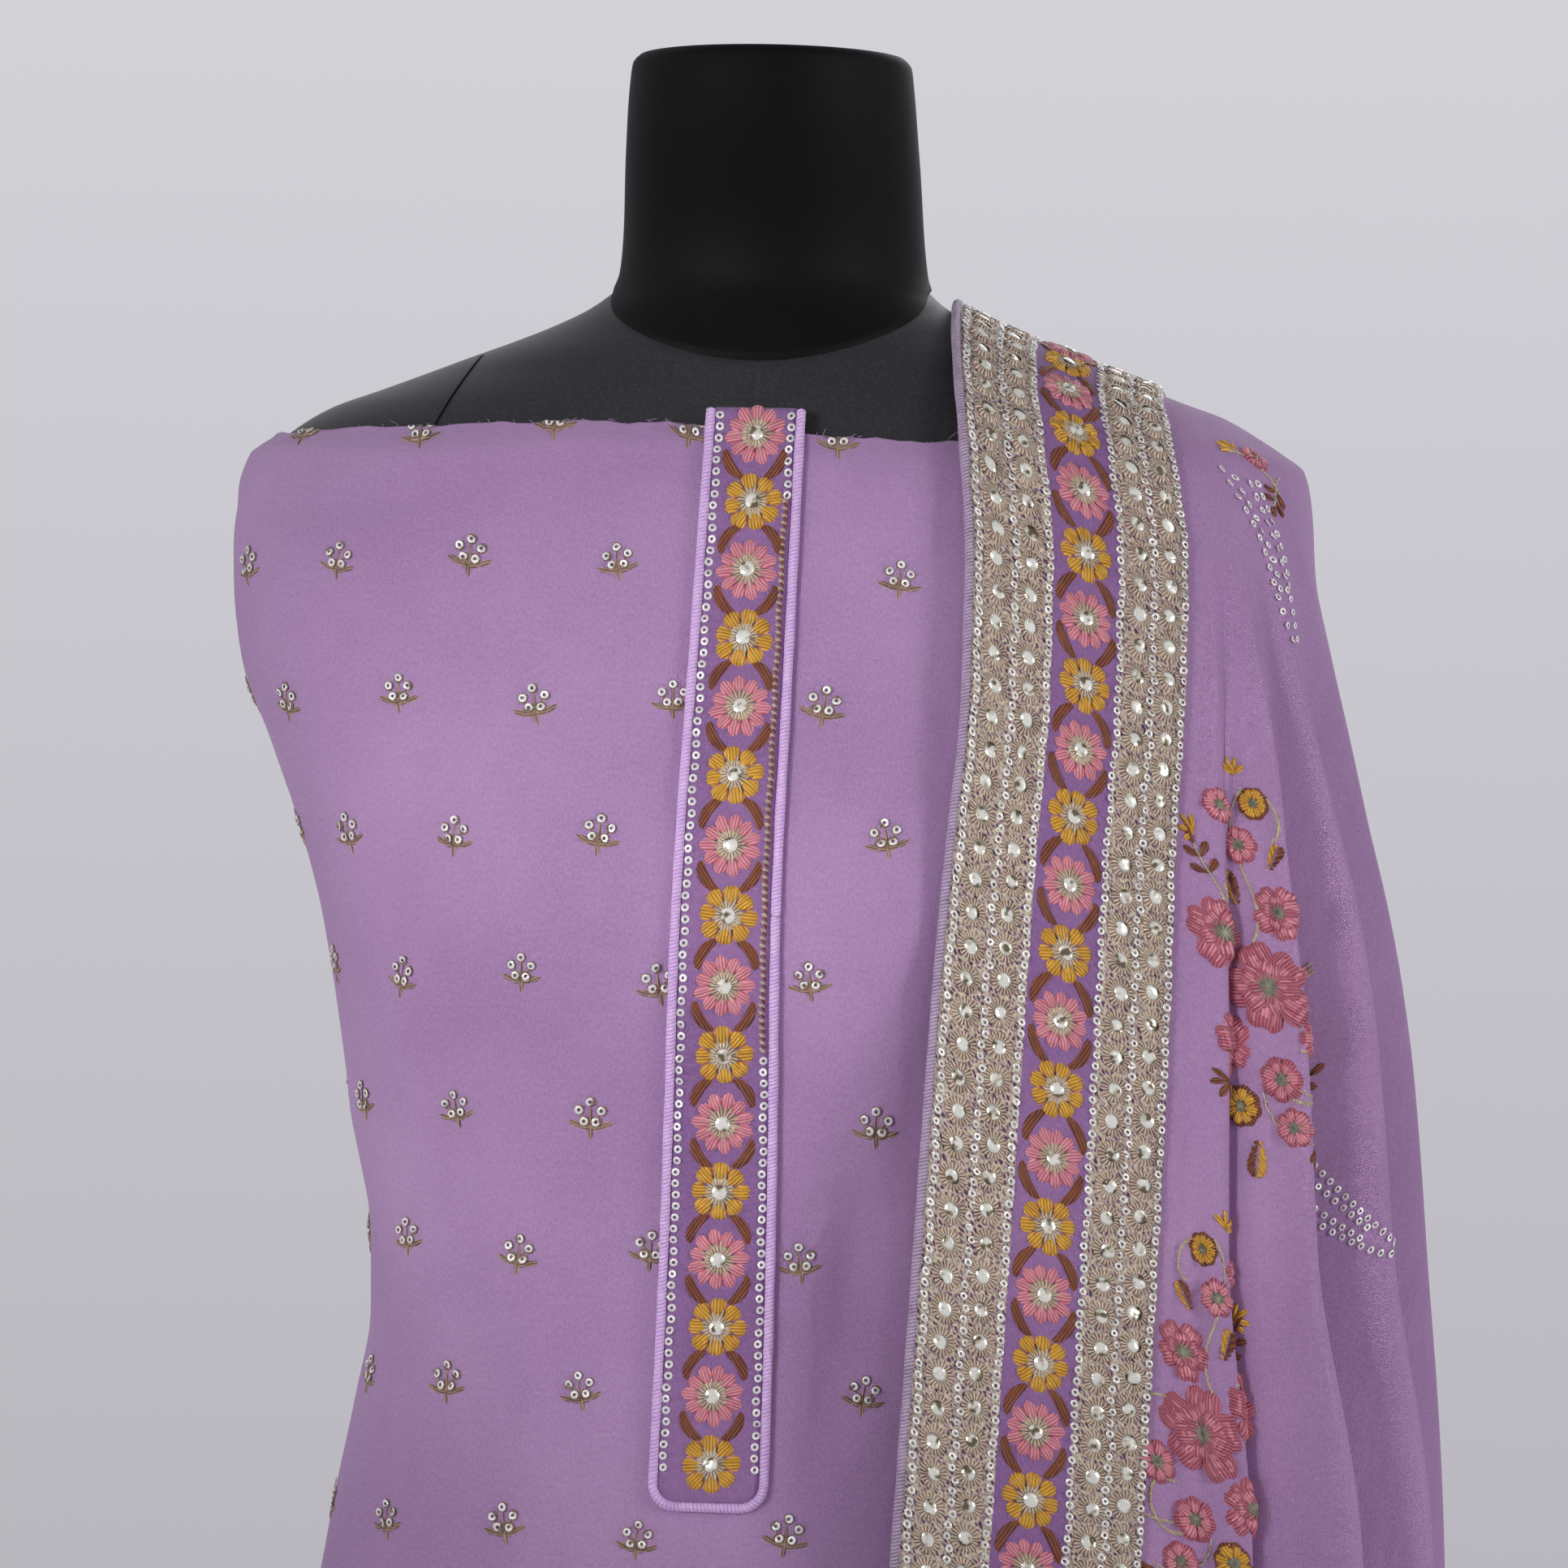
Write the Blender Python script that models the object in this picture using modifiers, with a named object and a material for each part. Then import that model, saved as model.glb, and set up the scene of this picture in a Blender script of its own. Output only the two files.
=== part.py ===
"""Salwar kameez suit shown on a limbless dress form with a round stand.

The kameez is one uncut width of cloth wrapped round the form and lapped at the centre back, with an
embroidered neck placket laid down its front. The dupatta hangs over the shoulder at +X like a shawl, with a
wide applied border on its inner edge. The salwar hangs from a deep belt round the waist: two pleated legs
ending in cuffs. Metres, +Z up, front at -Y, origin on the floor under the pole.
"""

import math
from collections import namedtuple

import bmesh
import bpy
import numpy as np

CLOTH = 0.0013
DUPATTA_CLOTH = 0.0013
SEAM_GAP = 0.0003

KAMEEZ_HEM = 0.340
KAMEEZ_TOP = 1.3440
KAMEEZ_TOP_SLOPE = 0.05
KAMEEZ_TOP_RISE = 0.0015
KAMEEZ_COLUMNS = 43
KAMEEZ_FOLDS = 9
LAP_STEP = 0.0036

BUST_HEIGHT = 1.165
BUST_SPREAD = 0.045
BUST_HALF_SPACING = 0.075
BUST_RISE = 0.006

PLACKET_TOP = 1.3530
PLACKET_LENGTH = 0.402
PLACKET_TOP_WIDTH = 0.0300
PLACKET_BOTTOM_WIDTH = 0.0375
PLACKET_TOP_X = 0.0020
PLACKET_BOTTOM_X = -0.0056
PIPING_RADIUS = 0.0017

RIDGE_START = 0.1485
RIDGE_END = 0.1990
FRONT_HEM = 0.400
BACK_HEM = 0.350
BORDER_COLUMNS = (0.0, 0.25, 0.5, 0.75, 1.0)
DRAPE_COLUMNS = 51
DRAPE_ROWS = 15
SHOULDER_DROPS = (0.0, 0.0008, 0.0026, 0.006, 0.0115, 0.020, 0.032)
FOLD_LEAN = 0.70

FORM_BOTTOM = 0.755
NECK_LEAN_FROM = 1.400
NECK_LEAN_TO = 1.489
NECK_LEAN = 0.026
POLE_RADIUS = 0.0125
HUB_TOP = 0.050
HUB_RADIUS = 0.024
BASE_RADIUS = 0.190
BASE_THICKNESS = 0.014

BELT_TOP = 1.000
BELT_BOTTOM = 0.7450
BELT_EASE = 0.0032
CUFF_TOP = 0.1050
CUFF_BOTTOM = 0.0550
CUFF_THICKNESS = 0.0024
LEG_SPLIT = -0.0215
LEG_SPLIT_GAP = 0.0018
LEG_PLEATS = 9

Section = namedtuple("Section", "z half_width front back squareness")

# The dress form, from under the hips to the top of the neck.
FORM = [
    Section(0.7550, 0.1560, 0.0940, 0.1080, 2.2),
    Section(0.7650, 0.1620, 0.0980, 0.1140, 2.2),
    Section(0.8000, 0.1680, 0.1020, 0.1200, 2.2),
    Section(0.8600, 0.1620, 0.1000, 0.1150, 2.2),
    Section(0.9188, 0.1510, 0.0950, 0.1040, 2.2),
    Section(0.9800, 0.1370, 0.0890, 0.0900, 2.2),
    Section(1.0300, 0.1300, 0.0880, 0.0830, 2.15),
    Section(1.0800, 0.1360, 0.0960, 0.0840, 2.2),
    Section(1.1203, 0.1460, 0.1080, 0.0880, 2.3),
    Section(1.1667, 0.1560, 0.1172, 0.0930, 2.4),
    Section(1.1975, 0.1660, 0.1150, 0.0970, 2.4),
    Section(1.2283, 0.1800, 0.1080, 0.0995, 2.4),
    Section(1.2590, 0.1940, 0.1000, 0.1010, 2.4),
    Section(1.2900, 0.2000, 0.0930, 0.1020, 2.35),
    Section(1.3150, 0.2000, 0.0875, 0.1010, 2.25),
    Section(1.3330, 0.1955, 0.0835, 0.0985, 2.1),
    Section(1.3430, 0.1880, 0.0805, 0.0965, 2.0),
    Section(1.3494, 0.1799, 0.0785, 0.0940, 1.95),
    Section(1.3558, 0.1690, 0.0765, 0.0910, 1.85),
    Section(1.3624, 0.1513, 0.0740, 0.0880, 1.8),
    Section(1.3690, 0.1338, 0.0715, 0.0840, 1.75),
    Section(1.3755, 0.1169, 0.0690, 0.0795, 1.75),
    Section(1.3821, 0.0990, 0.0660, 0.0745, 1.75),
    Section(1.3886, 0.0830, 0.0630, 0.0695, 1.8),
    Section(1.3951, 0.0698, 0.0600, 0.0645, 1.9),
    Section(1.4015, 0.0616, 0.0575, 0.0600, 2.0),
    Section(1.4100, 0.0582, 0.0560, 0.0575, 2.0),
    Section(1.4525, 0.0552, 0.0545, 0.0550, 2.0),
    Section(1.4800, 0.0530, 0.0525, 0.0530, 2.0),
    Section(1.4865, 0.0505, 0.0500, 0.0505, 2.0),
    Section(1.4890, 0.0460, 0.0455, 0.0460, 2.0),
]

# The middle of the kameez cloth, from its hem to its top edge.
KAMEEZ = [
    Section(0.3400, 0.1920, 0.1250, 0.1320, 2.2),
    Section(0.5000, 0.1880, 0.1210, 0.1310, 2.2),
    Section(0.6000, 0.1850, 0.1190, 0.1300, 2.2),
    Section(0.7400, 0.1810, 0.1160, 0.1290, 2.2),
    Section(0.8000, 0.1770, 0.1130, 0.1275, 2.2),
    Section(0.8600, 0.1710, 0.1095, 0.1215, 2.2),
    Section(0.9188, 0.1613, 0.1060, 0.1105, 2.2),
    Section(0.9499, 0.1560, 0.1035, 0.1035, 2.2),
    Section(0.9810, 0.1500, 0.1015, 0.0970, 2.2),
    Section(1.0121, 0.1454, 0.1010, 0.0935, 2.2),
    Section(1.0431, 0.1460, 0.1030, 0.0925, 2.2),
    Section(1.0740, 0.1515, 0.1070, 0.0930, 2.2),
    Section(1.1049, 0.1563, 0.1120, 0.0945, 2.3),
    Section(1.1358, 0.1612, 0.1185, 0.0965, 2.35),
    Section(1.1667, 0.1671, 0.1213, 0.0985, 2.4),
    Section(1.1975, 0.1764, 0.1188, 0.1010, 2.4),
    Section(1.2283, 0.1879, 0.1110, 0.1035, 2.45),
    Section(1.2590, 0.2000, 0.1035, 0.1050, 2.45),
    Section(1.2900, 0.2041, 0.0965, 0.1055, 2.4),
    Section(1.3055, 0.2047, 0.0930, 0.1050, 2.35),
    Section(1.3210, 0.2035, 0.0895, 0.1040, 2.3),
    Section(1.3366, 0.1998, 0.0862, 0.1020, 2.15),
    Section(1.3433, 0.1905, 0.0846, 0.1005, 2.05),
    Section(1.3600, 0.1800, 0.0800, 0.0960, 2.0),
]

# The dupatta's inner envelope, which its folds stand out from.
DRAPE = [
    Section(0.3000, 0.2420, 0.1480, 0.1520, 2.7),
    Section(0.5000, 0.2400, 0.1420, 0.1470, 2.8),
    Section(0.6000, 0.2395, 0.1390, 0.1450, 2.8),
    Section(0.8000, 0.2380, 0.1325, 0.1405, 2.8),
    Section(0.9300, 0.2360, 0.1290, 0.1270, 2.8),
    Section(1.0000, 0.2350, 0.1285, 0.1190, 2.8),
    Section(1.0500, 0.2340, 0.1285, 0.1165, 2.8),
    Section(1.1100, 0.2320, 0.1285, 0.1150, 2.75),
    Section(1.1443, 0.2294, 0.1280, 0.1150, 2.7),
    Section(1.1753, 0.2260, 0.1265, 0.1148, 2.65),
    Section(1.2061, 0.2214, 0.1235, 0.1145, 2.6),
    Section(1.2369, 0.2176, 0.1180, 0.1142, 2.55),
    Section(1.2677, 0.2130, 0.1110, 0.1135, 2.5),
    Section(1.2986, 0.2078, 0.1035, 0.1140, 2.45),
    Section(1.3210, 0.2062, 0.0980, 0.1125, 2.4),
    Section(1.3366, 0.2030, 0.0935, 0.1105, 2.25),
    Section(1.3430, 0.1950, 0.0910, 0.1090, 2.15),
    Section(1.3494, 0.1850, 0.0885, 0.1065, 2.05),
    Section(1.3558, 0.1738, 0.0855, 0.1000, 1.95),
    Section(1.3624, 0.1556, 0.0820, 0.0970, 1.9),
    Section(1.3690, 0.1382, 0.0785, 0.0930, 1.85),
    Section(1.3755, 0.1214, 0.0750, 0.0885, 1.8),
    Section(1.3821, 0.1036, 0.0715, 0.0830, 1.8),
    Section(1.3886, 0.0874, 0.0680, 0.0775, 1.85),
    Section(1.3951, 0.0742, 0.0645, 0.0710, 1.95),
    Section(1.4050, 0.0630, 0.0610, 0.0640, 2.0),
]

BorderLine = namedtuple("BorderLine", "z inner_edge outer_edge")
BORDER_LINES = [
    BorderLine(0.3000, 0.0440, 0.1290),
    BorderLine(0.6000, 0.0530, 0.1390),
    BorderLine(0.8000, 0.0600, 0.1470),
    BorderLine(0.9320, 0.0664, 0.1530),
    BorderLine(1.0300, 0.0715, 0.1562),
    BorderLine(1.0890, 0.0745, 0.1580),
    BorderLine(1.1470, 0.0775, 0.1592),
    BorderLine(1.1910, 0.0805, 0.1595),
    BorderLine(1.2500, 0.0845, 0.1615),
    BorderLine(1.2954, 0.0842, 0.1612),
    BorderLine(1.3415, 0.0800, 0.1545),
    BorderLine(1.3640, 0.0765, 0.1485),
    BorderLine(1.4050, 0.0700, 0.1440),
]

# How far the dupatta's folds stand out, and how far they crowd towards the side, at each height.
FoldSize = namedtuple("FoldSize", "z rise crowding")
FOLD_SIZES = [
    FoldSize(0.3000, 0.0170, 1.0),
    FoldSize(0.6000, 0.0165, 1.0),
    FoldSize(0.8000, 0.0158, 0.95),
    FoldSize(0.9300, 0.0145, 0.80),
    FoldSize(1.0500, 0.0118, 0.0),
    FoldSize(1.1443, 0.0088, -0.10),
    FoldSize(1.2061, 0.0056, -0.16),
    FoldSize(1.2677, 0.0020, -0.20),
    FoldSize(1.3150, 0.0000, -0.20),
]

# The dupatta's folds from the front border (1) past the side (0) to the back border (-1). A crest stands at
# each whole turn.
FoldPlace = namedtuple("FoldPlace", "turn share")
FOLD_PLACES = [
    FoldPlace(-0.6, 1.00),
    FoldPlace(0.0, 0.88),
    FoldPlace(1.0, 0.72),
    FoldPlace(2.0, 0.50),
    FoldPlace(3.0, 0.22),
    FoldPlace(4.0, -0.22),
    FoldPlace(5.0, -0.50),
    FoldPlace(6.0, -0.72),
    FoldPlace(7.0, -0.88),
    FoldPlace(7.6, -1.00),
]

HemPoint = namedtuple("HemPoint", "share height_over_hem")
DUPATTA_HEM = [
    HemPoint(0.00, 0.270),
    HemPoint(0.20, 0.200),
    HemPoint(0.42, 0.030),
    HemPoint(0.58, -0.065),
    HemPoint(0.80, -0.030),
    HemPoint(1.00, 0.000),
]

LapPoint = namedtuple("LapPoint", "z half_angle")
LAP = [
    LapPoint(0.3400, 0.22),
    LapPoint(0.6000, 0.28),
    LapPoint(0.8000, 0.36),
    LapPoint(0.9200, 0.62),
    LapPoint(1.0300, 0.90),
    LapPoint(1.1400, 0.62),
    LapPoint(1.2500, 0.30),
    LapPoint(1.3600, 0.20),
]

# Each leg: how round it is, how far its outer edge stands from the middle, its depth and its pleats.
LegSection = namedtuple("LegSection", "z roundness outer_edge half_depth pleat")
LEG = [
    LegSection(0.1050, 1.00, 0.1400, 0.0560, 0.0000),
    LegSection(0.1400, 1.00, 0.1430, 0.0590, 0.0030),
    LegSection(0.2200, 0.95, 0.1480, 0.0660, 0.0040),
    LegSection(0.3400, 0.85, 0.1510, 0.0730, 0.0040),
    LegSection(0.5200, 0.60, 0.1540, 0.0780, 0.0035),
    LegSection(0.6600, 0.20, 0.1620, 0.0840, 0.0020),
    LegSection(0.7447, 0.00, 0.1720, 0.0880, 0.0000),
]

LAVENDER = (0.46, 0.26, 0.50, 1.0)
PALE_LAVENDER = (0.58, 0.38, 0.68, 1.0)
FORM_BLACK = (0.018, 0.018, 0.020, 1.0)
STEEL_BLACK = (0.022, 0.022, 0.024, 1.0)
ZARI = (0.50, 0.42, 0.36, 1.0)


def material(name, colour, roughness, metallic=0.0):
    made = bpy.data.materials.new(name)
    made.use_nodes = True
    shader = made.node_tree.nodes["Principled BSDF"]
    shader.inputs["Base Color"].default_value = colour
    shader.inputs["Roughness"].default_value = roughness
    shader.inputs["Metallic"].default_value = metallic
    return made


def smooth_step(value):
    value = np.clip(value, 0.0, 1.0)
    return value * value * (3.0 - 2.0 * value)


def along(table, column, at):
    """A column of a table, read between its rows by a cubic that never overshoots them."""
    xs = np.array([row[0] for row in table])
    ys = np.array([getattr(row, column) for row in table])
    steps = np.diff(xs)
    slopes = np.diff(ys) / steps
    tangents = np.zeros_like(ys)
    same_way = slopes[:-1] * slopes[1:] > 0
    heavy = 2 * steps[1:] + steps[:-1]
    light = steps[1:] + 2 * steps[:-1]
    safe = [np.where(same_way, s, 1.0) for s in (slopes[:-1], slopes[1:])]
    mean = (heavy + light) / (heavy / safe[0] + light / safe[1])
    tangents[1:-1] = np.where(same_way, mean, 0.0)
    tangents[0] = slopes[0]
    tangents[-1] = slopes[-1]
    at = np.clip(np.asarray(at, float), xs[0], xs[-1])
    i = np.clip(np.searchsorted(xs, at) - 1, 0, len(xs) - 2)
    t = (at - xs[i]) / steps[i]
    rise = ys[i] + t * steps[i] * tangents[i]
    rise = rise + t**2 * (3 * (ys[i + 1] - ys[i]) - steps[i] * (2 * tangents[i] + tangents[i + 1]))
    return rise + t**3 * (2 * (ys[i] - ys[i + 1]) + steps[i] * (tangents[i] + tangents[i + 1]))


def ring_radius(table, z, angle):
    """Distance from the axis to a section's outline in the direction of an angle from +X."""
    n = along(table, "squareness", z)
    depth = np.where(np.sin(angle) < 0, along(table, "front", z), along(table, "back", z))
    across = np.abs(np.cos(angle)) / along(table, "half_width", z)
    return (across**n + (np.abs(np.sin(angle)) / depth) ** n) ** (-1.0 / n)


def bust(x, y, z):
    """How far the front stands out over the bust."""
    level = np.exp(-(((z - BUST_HEIGHT) / BUST_SPREAD) ** 2))
    sides = sum(np.exp(-(((x - s * BUST_HALF_SPACING) / BUST_SPREAD) ** 2)) for s in (-1, 1))
    return BUST_RISE * level * sides * smooth_step(-y / 0.06)


def around(table, z, angle, out=0.0):
    radius = ring_radius(table, z, angle) + out
    x = radius * np.cos(angle)
    y = radius * np.sin(angle)
    return np.stack([x, y - bust(x, y, z), z + 0 * x], axis=-1)


def sheet_mesh(name, points, wrap=False):
    """A mesh with one corner for each point of a grid, faces between them, welded where points meet."""
    rows, columns = points.shape[:2]
    bm = bmesh.new()
    corners = [[bm.verts.new(points[i, j]) for j in range(columns)] for i in range(rows)]
    for i in range(rows - 1):
        for j in range(columns if wrap else columns - 1):
            k = (j + 1) % columns
            bm.faces.new((corners[i][j], corners[i + 1][j], corners[i + 1][k], corners[i][k]))
    bmesh.ops.remove_doubles(bm, verts=bm.verts, dist=1e-6)
    mesh = bpy.data.meshes.new(name)
    bm.to_mesh(mesh)
    bm.free()
    return mesh


def place(name, data, finish, collection):
    made = bpy.data.objects.new(name, data)
    made.data.materials.append(finish)
    collection.objects.link(made)
    return made


def cloth(name, points, thickness, finish, collection, wrap=False, offset=0.0):
    """A cloth wall: an open sheet with Solidify. Offset 1 puts the whole wall outside the sheet."""
    mesh = sheet_mesh(name, points, wrap)
    mesh.shade_smooth()
    made = place(name, mesh, finish, collection)
    wall = made.modifiers.new("Wall", "SOLIDIFY")
    wall.thickness = thickness
    wall.offset = offset
    return made


def grid_normals(points):
    """Outward unit normals of a grid whose rows run down and whose columns run anticlockwise from above."""
    down = np.gradient(points, axis=0)
    across = np.gradient(points, axis=1)
    normal = np.cross(down, across)
    return normal / np.linalg.norm(normal, axis=-1, keepdims=True)


def lofted_solid(name, points, finish, collection):
    """A closed body from a stack of rings, capped flat at both ends."""
    mesh = sheet_mesh(name, points, wrap=True)
    bm = bmesh.new()
    bm.from_mesh(mesh)
    bmesh.ops.holes_fill(bm, edges=bm.edges, sides=0)
    bmesh.ops.recalc_face_normals(bm, faces=bm.faces)
    bm.to_mesh(mesh)
    bm.free()
    mesh.shade_smooth()
    return place(name, mesh, finish, collection)


def build_form(finish, collection):
    heights = np.array([row.z for row in FORM])
    angles = np.linspace(0, 2 * math.pi, 28, endpoint=False)
    z, angle = np.meshgrid(heights, angles, indexing="ij")
    points = around(FORM, z, angle)
    lean = smooth_step((z - NECK_LEAN_FROM) / (NECK_LEAN_TO - NECK_LEAN_FROM))
    points[..., 1] -= NECK_LEAN * lean
    return lofted_solid("dress_form", points, finish, collection)


def build_stand(finish, collection):
    pole_bottom = HUB_TOP + SEAM_GAP
    pole_top = FORM_BOTTOM - SEAM_GAP
    bpy.ops.mesh.primitive_cylinder_add(
        vertices=32,
        radius=POLE_RADIUS,
        depth=pole_top - pole_bottom,
        location=(0, 0, (pole_top + pole_bottom) / 2),
    )
    pole = bpy.context.object
    pole.name = "stand_pole"
    pole.data.materials.append(finish)
    for user in list(pole.users_collection):
        user.objects.unlink(pole)
    collection.objects.link(pole)

    profile = [
        (0.0, HUB_TOP),
        (HUB_RADIUS - 0.003, HUB_TOP),
        (HUB_RADIUS, HUB_TOP - 0.003),
        (HUB_RADIUS, BASE_THICKNESS + 0.006),
        (HUB_RADIUS + 0.006, BASE_THICKNESS),
        (BASE_RADIUS - 0.004, BASE_THICKNESS - 0.002),
        (BASE_RADIUS, BASE_THICKNESS - 0.006),
        (BASE_RADIUS, 0.0),
        (0.0, 0.0),
    ]
    mesh = bpy.data.meshes.new("stand_base")
    corners = [(radius, 0, height) for radius, height in profile]
    mesh.from_pydata(corners, [(i, i + 1) for i in range(len(profile) - 1)], [])
    base = place("stand_base", mesh, finish, collection)
    turn = base.modifiers.new("Turn", "SCREW")
    turn.steps = turn.render_steps = 40
    turn.use_merge_vertices = True
    turn.merge_threshold = 0.0001


def kameez_rows(top):
    """Heights of the kameez's rows under each point of its top edge, close together near that edge."""
    drops = np.array([0, 0.0035, 0.008, 0.015, 0.026, 0.042])
    upper = np.linspace(1.268, 0.86, 14)
    lower = np.linspace(0.79, KAMEEZ_HEM, 6)
    body = np.concatenate([upper, lower])
    return np.concatenate([top[None, :] - drops[:, None], np.repeat(body[:, None], len(top), 1)])


def kameez_fold(z, angle):
    """Soft folds that open below the hips."""
    from_back = np.arctan2(np.sin(angle - math.pi / 2), np.cos(angle - math.pi / 2))
    depth = 0.0095 * smooth_step((0.80 - z) / 0.46) * smooth_step((np.abs(from_back) + 0.1) / 0.7)
    return depth * np.cos(KAMEEZ_FOLDS * angle + 1.1 * np.sin(2 * angle + 0.6) + 0.5 * np.sin(angle))


def kameez_point(z, angle, out=0.0):
    return around(KAMEEZ, z, angle, out + kameez_fold(z, angle))


def kameez_top(angle):
    """The top edge dips towards +X across the chest."""
    front = np.clip(-np.sin(angle), 0, 1) ** 2
    reach = 0.14 * np.cos(angle)
    return KAMEEZ_TOP + (KAMEEZ_TOP_RISE - KAMEEZ_TOP_SLOPE * reach) * front


def build_kameez(finish, collection):
    share = np.linspace(0, 1, KAMEEZ_COLUMNS)
    centre_back = math.pi / 2
    top = kameez_top(centre_back + 2 * math.pi * share)
    z = kameez_rows(top)
    half_lap = along(LAP, "half_angle", z)
    angle = centre_back - half_lap + (2 * math.pi + 2 * half_lap) * share
    lap_from = 1 - 2 * half_lap / (2 * math.pi + 2 * half_lap)
    out = LAP_STEP * smooth_step((share - lap_from + 0.07) / 0.06)
    return cloth("kameez_cloth", kameez_point(z, angle, out), CLOTH, finish, collection)


def placket_grid(rows, across):
    """Points on the kameez under the placket. across runs from -1 to 1 over its width."""
    share = np.linspace(0, 1, rows)
    z = PLACKET_TOP - PLACKET_LENGTH * share[:, None] + 0 * across
    middle = PLACKET_TOP_X + (PLACKET_BOTTOM_X - PLACKET_TOP_X) * share[:, None]
    width = PLACKET_TOP_WIDTH + (PLACKET_BOTTOM_WIDTH - PLACKET_TOP_WIDTH) * share[:, None]
    x = middle + width / 2 * across
    angle = np.full_like(z, -math.pi / 2)
    for _ in range(8):
        angle = -math.acos(0) + np.arcsin(np.clip(x / ring_radius(KAMEEZ, z, angle), -1, 1))
    return kameez_point(z, angle)


def build_placket(cloth_finish, piping_finish, collection):
    across = np.linspace(-1, 1, 5)[None, :]
    points = placket_grid(18, across)
    out = grid_normals(points)
    lift = CLOTH / 2 + 2 * SEAM_GAP
    cloth("placket_strip", points + out * lift, CLOTH, cloth_finish, collection, offset=1.0)

    edge = CLOTH / 2 + PIPING_RADIUS + 2 * SEAM_GAP
    wide = placket_grid(18, np.array([[-1.0, 0.0, 1.0]]))
    side = PIPING_RADIUS + 2 * SEAM_GAP
    left = wide[:, 0] + out[:, 0] * edge - np.array([side, 0, 0])
    right = wide[:, 2] + out[:, -1] * edge + np.array([side, 0, 0])
    foot = points[-1] + out[-1] * edge - np.array([0, 0, side])
    below = np.array([0, 0, side])
    route = [*left, left[-1] - below, *foot[1:-1], right[-1] - below, *right[::-1]]
    tube("placket_piping", route, PIPING_RADIUS, piping_finish, collection)


def tube(name, route, radius, finish, collection):
    data = bpy.data.curves.new(name, "CURVE")
    data.dimensions = "3D"
    data.bevel_depth = radius
    data.bevel_resolution = 1
    data.use_fill_caps = True
    line = data.splines.new("POLY")
    line.points.add(len(route) - 1)
    for point, place_at in zip(line.points, route):
        point.co = (*place_at, 1.0)
    return place(name, data, finish, collection)


def ridge_height(x_of_z):
    """The height at which the envelope is exactly as wide as a column's distance from the middle."""
    low, high = 1.30, 1.405
    for _ in range(40):
        middle = (low + high) / 2
        if along(DRAPE, "half_width", middle) > x_of_z(middle):
            low = middle
        else:
            high = middle
    return (low + high) / 2


def border_x(share, z):
    inner = along(BORDER_LINES, "inner_edge", z)
    outer = along(BORDER_LINES, "outer_edge", z)
    return inner + share * (outer - inner)


def drape_point(x, z, side):
    """A point of the envelope at a distance x from the middle. side is -1 in front and 1 at the back."""
    n = along(DRAPE, "squareness", z)
    depth = along(DRAPE, "front" if side < 0 else "back", z)
    share = np.clip(x / along(DRAPE, "half_width", z), 0, 1)
    return np.array([x, side * depth * (1 - share**n) ** (1 / n), z])


def column_heights(ridge, hem):
    """Heights down a column, close together where the cloth turns over the shoulder."""
    return np.concatenate([ridge - np.array(SHOULDER_DROPS), np.linspace(ridge - 0.050, hem, DRAPE_ROWS)])


def border_column(share, side):
    ridge = ridge_height(lambda z: border_x(share, z))
    hem = FRONT_HEM if side < 0 else BACK_HEM
    column = [drape_point(border_x(share, z), z, side) for z in column_heights(ridge, hem)]
    column[0][1] = 0.0
    return column


def crowded(share, z):
    """Where a fold stands at a height, once it has crept towards the side."""
    crowding = along(FOLD_SIZES, "crowding", z)
    return share / (1 + crowding - crowding * np.abs(share))


def outer_column(fold_share):
    """A column beyond the border, which follows one line of the folds from the shoulder to the hem."""
    side = -1 if fold_share > 0 else 1
    size = abs(fold_share)
    ridge_x = RIDGE_END - (RIDGE_END - RIDGE_START) * size
    ridge = ridge_height(lambda z: ridge_x)
    hem = FRONT_HEM if side < 0 else BACK_HEM
    hem = hem + float(along(DUPATTA_HEM, "height_over_hem", size))
    column = []
    for z in column_heights(ridge, hem):
        half_width = along(DRAPE, "half_width", z)
        edge = border_x(1.0, z)
        fan = smooth_step((ridge - z) / 0.06)
        low = (half_width - edge) * crowded(size, z) ** 2
        high = (half_width - ridge_x - (edge - RIDGE_START) * size) * smooth_step(size / 0.3)
        column.append(drape_point(half_width - max(low * fan + high * (1 - fan), 0.0), z, side))
    column[0][1] = 0.0
    return column


def fold_shift(points, turns, shares):
    """Moves an envelope's points out along their sections' normals to raise the folds."""
    across = np.gradient(points, axis=1)
    across[..., 2] = 0
    length = np.linalg.norm(across, axis=-1, keepdims=True)
    across = across / np.maximum(length, 1e-9)
    out = np.stack([across[..., 1], -across[..., 0], 0 * across[..., 0]], axis=-1)
    wave = np.cos(2 * math.pi * turns)
    rise = along(FOLD_SIZES, "rise", points[..., 2]) * smooth_step((1 - np.abs(shares)) / 0.34)
    lean = -rise * FOLD_LEAN * wave * np.sign(shares) * smooth_step(np.abs(shares) / 0.4)
    return points + out * (rise * (1 + wave))[..., None] - across * lean[..., None]


def dupatta_points():
    """Rows down from the shoulder ridge, columns from the front inner edge round to the back inner edge."""
    front = [border_column(s, -1) for s in BORDER_COLUMNS]
    back = [border_column(s, 1) for s in reversed(BORDER_COLUMNS)]
    first, last = FOLD_PLACES[0].turn, FOLD_PLACES[-1].turn
    turns = np.linspace(first, last, DRAPE_COLUMNS + 2)[1:-1]
    shares = np.interp(turns, [row.turn for row in FOLD_PLACES], [row.share for row in FOLD_PLACES])
    points = np.array(front + [outer_column(s) for s in shares] + back).transpose(1, 0, 2)
    ones = np.ones(len(BORDER_COLUMNS))
    turns = np.concatenate([ones * first, turns, ones * last])
    return fold_shift(points, turns, np.concatenate([ones, shares, -ones]))


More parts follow.
